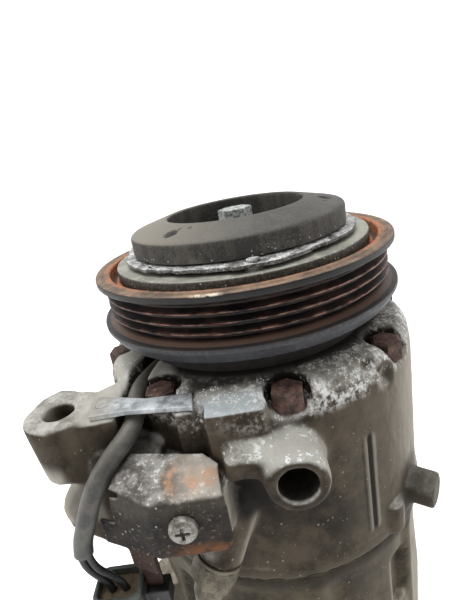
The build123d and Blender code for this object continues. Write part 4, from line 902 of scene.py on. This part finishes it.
def cup_finish():
    """The hub: dusty charcoal on top, darker walls, white dust at the foot."""
    f = Finish("hub_grey", roughness=0.66, specular=0.4)
    cloud = f.noise(8.0, 4.0, 0.6)
    fine = f.noise(0.9, 3.0, 0.7)
    drag = f.noise(6.0, 4.0, 0.6, (1.0, 1.0, 0.22))
    r = f.radius()
    top = f.step(f.nz, 0.35, 0.75) * f.step(r, 25.0, 26.4)
    left = f.step(f.x, 12.0, -42.0)
    dusty = f.mix(f.step(cloud * 0.5 + fine * 0.5, 0.38, 0.62), (62, 60, 57), (84, 82, 77))
    dusty = f.mix(left * 0.7, dusty, (134, 128, 115))
    wall = f.mix(f.step(fine * 0.5 + drag * 0.5, 0.42, 0.60), (46, 44, 41), (74, 70, 64))
    bowl = f.step(r, 26.6, 25.9)
    bowl_colour = f.mix(f.step(drag, 0.42, 0.66), (48, 47, 44), (82, 79, 72))
    streaky = bowl * f.step(f.x, 6.0, 22.0) * f.step(drag, 0.48, 0.64)
    bowl_colour = f.mix(streaky * 0.3, bowl_colour, (120, 114, 98))
    colour = f.mix(top, wall, dusty)
    colour = f.mix(bowl, colour, bowl_colour)
    edge = f.edges(0.8)
    colour = f.mix(edge * 0.35, colour, (150, 147, 138))
    for x, y, radius, _ in PUNCH_MARKS + PIN_MARKS:
        mark = f.step(f.distance(x, y, 219.5), radius + 0.6, radius - 0.2)
        colour = f.mix(mark * 0.75, colour, (34, 33, 31))
    foot = f.step(f.z, 214.5, 210.5) * f.step(r, 41.5, 43.0)
    dust = f.specks(1.1, 0.16) * foot
    colour = f.mix(dust * 0.85, colour, (214, 214, 208))
    colour = f.mix(foot * f.step(cloud, 0.5, 0.66) * 0.4, colour, (122, 118, 108))
    return f.finished(colour, 0.55 + 0.25 * cloud, 0.7 * fine + 0.5 * cloud + dust, 0.12, 0.6)


def stopper_finish():
    """Grey spring plate, its cut edges white with corrosion."""
    f = Finish("stopper_grey", roughness=0.5, metallic=0.45)
    cloud = f.noise(5.0, 4.0, 0.65)
    fine = f.noise(0.9, 3.0, 0.7)
    colour = f.mix(f.step(cloud, 0.38, 0.62), (120, 120, 118), (168, 168, 166))
    purple = f.step(f.x, 4.0, 38.0)
    colour = f.mix(purple * 0.5, colour, (104, 96, 102))
    crust = f.step(fine * 0.55 + cloud * 0.45, 0.47, 0.58)
    colour = f.mix(crust * 0.7, colour, WHITE_CRUST)
    side = f.step(f.nz, 0.6, 0.2)
    colour = f.mix(side * f.step(fine, 0.34, 0.60), colour, (72, 68, 64))
    edge = f.edges(0.5)
    colour = f.mix(edge * f.step(cloud, 0.42, 0.55) * 0.8, colour, (226, 228, 226))
    return f.finished(colour, 0.40 + 0.35 * crust, fine + crust, 0.15, 0.7)


def armature_finish():
    """Olive-grey plate with a dark speckled edge."""
    f = Finish("armature_grey", roughness=0.6, metallic=0.2)
    cloud = f.noise(7.0, 4.0, 0.6)
    fine = f.noise(1.1, 3.0, 0.7)
    top = f.mix(f.step(cloud, 0.36, 0.64), (124, 123, 113), (152, 151, 140))
    side = f.mix(f.step(fine, 0.42, 0.62), (54, 51, 46), (90, 84, 74))
    colour = f.mix(f.step(f.nz, 0.3, 0.8), side, top)
    dust = f.specks(1.3, 0.14)
    colour = f.mix(dust * 0.7, colour, (204, 202, 192))
    colour = f.mix(f.edges(0.6) * 0.5, colour, (178, 174, 160))
    return f.finished(colour, 0.45 + 0.3 * cloud, fine + dust, 0.12, 0.6)


def rotor_finish():
    """Friction face, orange with rust at its rim."""
    f = Finish("rotor_rust", roughness=0.8, metallic=0.1)
    cloud = f.noise(6.0, 5.0, 0.65)
    fine = f.noise(1.2, 4.0, 0.7)
    colour = f.mix(f.step(cloud, 0.36, 0.60), (116, 74, 54), (204, 122, 74))
    colour = f.mix(f.step(fine, 0.56, 0.68) * 0.8, colour, (92, 66, 58))
    colour = f.mix(f.step(fine, 0.40, 0.30) * 0.5, colour, (222, 156, 108))
    return f.finished(colour, 0.65 + 0.25 * fine, fine + 0.5 * cloud, 0.25, 0.8)


def plain_finish(name, dark, light, roughness, metallic=0.0, size=4.0, reach=0.1, edge=0.0,
                 edge_colour=(203, 203, 200), coat=0.0):
    """A surface of two close tones, with fine grain and eased bright edges."""
    f = Finish(name, roughness=roughness, metallic=metallic, coat=coat)
    cloud = f.noise(size, 4.0, 0.6)
    fine = f.noise(size * 0.18, 3.0, 0.65)
    colour = f.mix(f.step(cloud * 0.6 + fine * 0.4, 0.38, 0.62), dark, light)
    if edge > 0:
        colour = f.mix(f.edges(0.4) * edge, colour, edge_colour)
    return f.finished(colour, roughness - 0.08 + 0.2 * fine, fine + 0.6 * cloud, reach, 0.6)


def bolt_finish():
    """Dark rusty brown bolt heads with patches of pale dirt."""
    f = Finish("bolt_rust", roughness=0.72, metallic=0.15)
    cloud = f.noise(3.0, 4.0, 0.65)
    fine = f.noise(0.8, 3.0, 0.7)
    colour = f.mix(f.step(cloud, 0.36, 0.62), (44, 30, 27), (92, 66, 57))
    colour = f.mix(f.step(fine, 0.56, 0.68) * 0.5, colour, (122, 98, 86))
    colour = f.mix(f.edges(0.4) * 0.35, colour, (132, 112, 100))
    pale = f.step(cloud * 0.5 + fine * 0.5, 0.58, 0.66)
    colour = f.mix(pale * 0.5, colour, (150, 140, 128))
    return f.finished(colour, 0.6 + 0.25 * fine, fine + cloud, 0.2, 0.8)


def corroded_bolt_finish():
    """The hub's bolt, whitish with corrosion over grey steel."""
    f = Finish("centre_bolt_white", roughness=0.6, metallic=0.2)
    cloud = f.noise(2.2, 4.0, 0.7)
    fine = f.noise(0.7, 3.0, 0.7)
    colour = f.mix(f.step(cloud, 0.40, 0.56), (84, 88, 88), (172, 175, 171))
    colour = f.mix(f.step(fine, 0.60, 0.68) * 0.8, colour, (70, 68, 62))
    colour = f.mix(f.step(f.z, 213.6, 212.6) * 0.7, colour, (84, 80, 72))
    return f.finished(colour, 0.45 + 0.3 * cloud, fine + cloud, 0.18, 0.8)


def cover_finish():
    """Rusting steel cover: mottled grey and white on top, brown in front with painted light below the bend,
    orange low down.
    """
    f = Finish("cover_rust", roughness=0.6, metallic=0.1, specular=0.2)
    cloud = f.noise(6.0, 5.0, 0.65)
    fine = f.noise(1.4, 4.0, 0.7)
    broad = f.noise(13.0, 3.0, 0.5, (1.0, 1.0, 1.0), 7.0)
    top_side = f.step(f.nz + 0.5 * (cloud - 0.5), 0.20, 0.88)
    top = f.mix(f.step(cloud, 0.38, 0.60), (76, 72, 68), (142, 139, 134))
    top = f.mix(f.step(f.x, -38.0, -24.0) * 0.6, top, (178, 170, 158))
    top = f.mix(f.step(fine * 0.6 + cloud * 0.4, 0.53, 0.62) * 0.8, top, (206, 208, 208))
    rust_patch = f.step(f.distance(-29.5, -72.5, 152.0), 8.5, 3.0)
    rust_patch = rust_patch.over(f.step(f.distance(-20.5, -73.0, 151.5), 4.5, 1.5))
    rust_patch = rust_patch * f.step(broad * 0.4 + cloud * 0.3 + fine * 0.3, 0.46, 0.56)
    top = f.mix(rust_patch * 0.75, top, (178, 130, 88))
    front = f.mix(f.step(cloud, 0.40, 0.64), (18, 14, 12), (48, 40, 33))
    front = f.mix(f.step(fine, 0.58, 0.66) * 0.45, front, (132, 126, 118))
    # Painted light: the front is painted paler just below the bend, where the lit top shades into it.
    painted_bend_light = f.step(f.z + 5.0 * (cloud - 0.5), 139.5, 149.0)
    front = f.mix(painted_bend_light * 0.3, front, (98, 92, 82))
    low_right = f.step(f.z, 134.0, 129.5) * f.step(f.x, -40.0, -27.0)
    front = f.mix(low_right * f.step(cloud, 0.36, 0.52) * 0.8, front, (116, 72, 36))
    below = f.step(f.z, 130.0, 127.5)
    front = f.mix(below * 0.7, front, (58, 38, 32))
    colour = f.mix(top_side, front, top)
    edge = f.edges(0.6) * f.step(cloud, 0.36, 0.52) * (0.15 + 0.4 * f.step(f.z, 140.0, 148.0))
    colour = f.mix(edge, colour, (190, 186, 178))
    dust = f.specks(1.5, 0.12)
    colour = f.mix(dust * 0.6 * f.step(f.z, 120.0, 132.0), colour, (196, 194, 188))
    return f.finished(colour, 0.42 + 0.35 * cloud, fine + 0.7 * cloud + dust, 0.22, 0.8)


def strap_finish():
    """Bright zinc, bluish, with a few dull patches."""
    f = Finish("zinc", roughness=0.4, metallic=0.55)
    cloud = f.noise(5.0, 4.0, 0.6)
    fine = f.noise(0.8, 3.0, 0.7)
    colour = f.mix(f.step(cloud, 0.36, 0.60), (140, 144, 146), (196, 201, 204))
    colour = f.mix(f.step(fine, 0.56, 0.66) * 0.5, colour, (96, 92, 88))
    left = f.step(f.x, -46.0, -58.0)
    colour = f.mix(left * 0.85, colour, (148, 143, 133))
    colour = f.mix(f.edges(0.5) * 0.5, colour, (214, 218, 222))
    return f.finished(colour, 0.32 + 0.3 * cloud, fine, 0.12, 0.6)


def sheath_finish():
    """Dull olive-grey shrink tube with dust along its upper side."""
    f = Finish("sheath_plastic", roughness=0.5)
    cloud = f.noise(6.0, 4.0, 0.6)
    fine = f.noise(0.8, 3.0, 0.65)
    colour = f.mix(f.step(cloud, 0.38, 0.62), (56, 56, 54), (84, 83, 78))
    colour = f.mix(f.step(f.nz, 0.1, 0.9) * 0.35, colour, (112, 106, 94))
    colour = f.mix(f.step(fine, 0.60, 0.70) * 0.4, colour, (120, 114, 102))
    return f.finished(colour, 0.40 + 0.22 * cloud, fine + cloud, 0.10, 0.6)


def plug_finish():
    """Moulded dark green-grey plastic, dusty on its edges."""
    f = Finish("connector_plastic", roughness=0.55)
    cloud = f.noise(5.0, 4.0, 0.6)
    fine = f.noise(0.6, 3.0, 0.65)
    colour = f.mix(f.step(cloud, 0.38, 0.64), (42, 46, 43), (72, 76, 71))
    colour = f.mix(f.step(f.x, -51.6, -51.2), colour, (26, 27, 27))
    colour = f.mix(f.edges(0.5) * 0.5, colour, (128, 130, 122))
    colour = f.mix(f.specks(1.4, 0.10) * 0.5, colour, (150, 148, 138))
    return f.finished(colour, 0.45 + 0.2 * cloud, fine + 0.5 * cloud, 0.08, 0.6)


def dress(piece, material, body, slot, *nodes):
    """Gives a piece its finish and its body, and hides the CAD nodes it stands for; the slot is not used."""
    piece.data.materials.clear()
    piece.data.materials.append(material)
    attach(piece, body)
    if nodes:
        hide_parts(*nodes)
    return piece


front_metal = casting_finish("front_casting", (32, 26, 20), (80, 71, 59), (124, 121, 114),
                             (176, 174, 167), True)
rear_metal = casting_finish("rear_casting", (34, 28, 20), (88, 80, 64), (112, 106, 94),
                            (160, 153, 139), False)
bolt_rust = bolt_finish()
crust_white = plain_finish("crust_white", (196, 196, 190), (236, 237, 234), 0.9, size=2.0)
hub_grey = cup_finish()
stopper_grey = stopper_finish()
screw_grey = plain_finish("screw_grey", (84, 80, 74), (156, 153, 146), 0.5, 0.35, 2.6, 0.15, 0.6,
                          (206, 204, 198))
valve_grey = plain_finish("valve_grey", (74, 67, 56), (118, 110, 93), 0.55, 0.25, 4.0, 0.15, 0.4,
                          (164, 158, 142))
wire_black = plain_finish("wire_black", (24, 25, 25), (44, 45, 43), 0.45, 0.0, 3.0, 0.05)

dress(casting_front, front_metal, "body", "front_casting", "front_housing")
dress(casting_rear, rear_metal, "body", "rear_casting", "rear_housing")
dress(rim, rim_finish(), "pulley", "pulley_steel", "pulley_rim")
dress(cup, hub_grey, "shaft", "hub_steel", "hub_cup")
dress(centre_bolt, corroded_bolt_finish(), "shaft", "hub_bolt_steel", "hub_bolt")
dress(stopper, stopper_grey, "armature", "stopper_steel", "stopper_plate")
dress(armature, armature_finish(), "armature", "armature_steel", "armature_plate")
dress(rivets, stopper_grey, "armature", "rivet_steel", "plate_rivets")
zinc = strap_finish()
dress(clamp, zinc, "body", "zinc_strap", "clamp_strap")
dress(cover, cover_finish(), "body", "cover_steel", "cover_plate")
dress(cover_screw, screw_grey, "body", "screw_steel", "cover_screw")
dress(valve, valve_grey, "body", "relief_steel", "relief_valve")
dress(valve_washer, valve_grey, "body", "copper_washer", "relief_washer")
dress(plug, plug_finish(), "body", "connector_plastic", "connector_body")

long_bolts = grown("long_bolts", bolt_tree(bolt_rust), {
    "Circle radius": BOLT_CIRCLE_R * MM, "Count": BOLT_COUNT, "Seat height": BOLT_SEAT_Z * MM + 0.0001,
    "Start angle": math.radians(BOLT_START_DEG), "Head corner radius": 0.00577, "Head height": 0.0052,
    "Flange radius": 0.006, "Shank radius": 0.003, "Shank length": 0.0848,
})
dress(shade(long_bolts), bolt_rust, "body", "housing_bolt_steel", "housing_bolts")
crust = grown("crust", crust_tree(crust_white), {
    "Density": 2.0e6, "Low edge": 0.1615, "Crumb": 0.00032, "Inner radius": 0.0525,
    "Outer radius": 0.0680}, casting_front)
dress(crust, crust_white, "body", "front_casting")

sheath_skin = sheath_finish()
for piece, skin in ((sheath, sheath_skin), (wire_a, wire_black), (wire_b, wire_black)):
    piece.data.materials.append(skin)
    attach(piece, "body")
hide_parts("lead_sheath")
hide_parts("lead_wire_a")
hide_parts("lead_wire_b")

# ---- finishes of the CAD nodes that stay ------------------------------------------
ground_steel = plain_finish("ground_steel", (150, 150, 152), (190, 190, 192), 0.3, 0.9, 3.0, 0.02)
dark_steel = plain_finish("dark_steel", (60, 58, 56), (96, 93, 88), 0.45, 0.6, 3.0, 0.05, 0.4)
black_steel = plain_finish("black_steel", (22, 20, 20), (44, 39, 36), 0.75, 0.1, 6.0, 0.2)
black_rubber = plain_finish("black_rubber", (20, 20, 20), (38, 37, 36), 0.8, 0.0, 3.0, 0.08)
resin = plain_finish("resin", (52, 34, 24), (84, 58, 40), 0.5, 0.0, 4.0, 0.08)
machined = plain_finish("machined_aluminium", (168, 168, 170), (204, 204, 206), 0.35, 0.85, 5.0, 0.03)
nylon = plain_finish("nylon", (96, 88, 66), (128, 118, 92), 0.55, 0.0, 3.0, 0.05)
dark_plastic = plain_finish("tip_seal", (30, 30, 30), (50, 50, 50), 0.5, 0.0, 3.0, 0.05)
iron = plain_finish("cast_iron", (58, 56, 54), (88, 85, 82), 0.6, 0.5, 3.0, 0.2, 0.3)
tinned = plain_finish("tinned_brass", (160, 150, 116), (204, 196, 164), 0.3, 0.9, 2.0, 0.02)
seal_brown = plain_finish("plug_seal", (66, 54, 40), (104, 88, 66), 0.7, 0.0, 2.5, 0.1)

CARRIED = [
    (rotor_finish(), ["rotor"]),
    (hub_grey, ["hub_core", "carrier_ring"]),
    (zinc, ["strap_pin"]),
    (black_steel, ["coil_shell"]),
    (resin, ["coil_winding"]),
    (ground_steel, ["bearing_outer_race", "bearing_inner_race", "bearing_balls", "shaft", "dowel_pins",
                    "main_bearing_outer_race", "main_bearing_inner_race", "main_bearing_balls", "drive_bush",
                    "drive_needles", "coupling_orbiting_ring", "coupling_fixed_ring", "coupling_balls"]),
    (dark_steel, ["rotor_circlip", "nose_circlip", "coil_circlip", "airgap_shim", "seal_circlip",
                  "reed_valve", "reed_stop", "reed_screw", "relief_spring", "relief_poppet"]),
    (black_rubber, ["bearing_seals", "hub_rubber", "shaft_seal", "seam_seal_ring"]),
    (machined, ["orbiting_scroll", "fixed_scroll"]),
    (nylon, ["bearing_cage", "main_bearing_cage"]),
    (dark_plastic, ["orbiting_tip_seal", "fixed_tip_seal"]),
    (iron, ["counterweight"]),
    (tinned, ["connector_terminals"]),
    (seal_brown, ["connector_seal"]),
]
for finish, names in CARRIED:
    for name in names:
        NODES[name].data.materials.clear()
        NODES[name].data.materials.append(finish)


# ---- floor, backdrop and light ----------------------------------------------------
def backdrop():
    """A pale sheet that lies flat and curves up far behind."""
    sweep = [(-2.5, 0.0), (1.2, 0.0)]
    bend = 0.8
    for k in range(1, 13):
        a = math.radians(90.0 * k / 12)
        sweep.append((1.2 + bend * math.sin(a), bend * (1 - math.cos(a))))
    sweep.append((1.2 + bend, 3.5))
    verts = [(x, y, z - 0.0002) for y, z in sweep for x in (-3.0, 3.0)]
    faces = [(2 * i, 2 * i + 1, 2 * i + 3, 2 * i + 2) for i in range(len(sweep) - 1)]
    mesh = bpy.data.meshes.new("backdrop")
    mesh.from_pydata(verts, [], faces)
    mesh.polygons.foreach_set("use_smooth", [True] * len(mesh.polygons))
    piece = new_piece("backdrop", mesh)
    sheet = bpy.data.materials.new("backdrop_white")
    sheet.use_nodes = True
    sheet.node_tree.nodes["Principled BSDF"].inputs["Base Color"].default_value = (0.93, 0.93, 0.93, 1)
    sheet.node_tree.nodes["Principled BSDF"].inputs["Roughness"].default_value = 0.9
    sheet.node_tree.nodes["Principled BSDF"].inputs["Emission Color"].default_value = (1.0, 1.0, 1.0, 1)
    sheet.node_tree.nodes["Principled BSDF"].inputs["Emission Strength"].default_value = 0.40
    mesh.materials.append(sheet)


def soft_light(name, place, target, width, power, tint=(1.0, 1.0, 1.0)):
    data = bpy.data.lights.new(name, "AREA")
    data.shape = "RECTANGLE"
    data.size = width
    data.size_y = width
    data.energy = power
    data.color = tint
    light = bpy.data.objects.new(name, data)
    bpy.context.scene.collection.objects.link(light)
    light.location = place
    light.rotation_euler = (Vector(target) - Vector(place)).to_track_quat("-Z", "Y").to_euler()


backdrop()
AIM = (0.0, 0.0, 0.16)
soft_light("overhead", (-0.15, 0.05, 1.30), AIM, 0.9, 15.0)
soft_light("left", (-1.3, -0.2, 0.60), AIM, 0.8, 6.0)
soft_light("right", (1.3, 0.1, 0.55), AIM, 0.8, 6.0)
soft_light("front", (-0.5, -1.3, 0.90), AIM, 0.8, 1.6)
world = bpy.data.worlds.new("studio")
world.use_nodes = True
world.node_tree.nodes["Background"].inputs["Color"].default_value = (1.0, 1.0, 1.0, 1.0)
world.node_tree.nodes["Background"].inputs["Strength"].default_value = 0.36
bpy.context.scene.world = world
bpy.context.scene.view_settings.view_transform = "Standard"
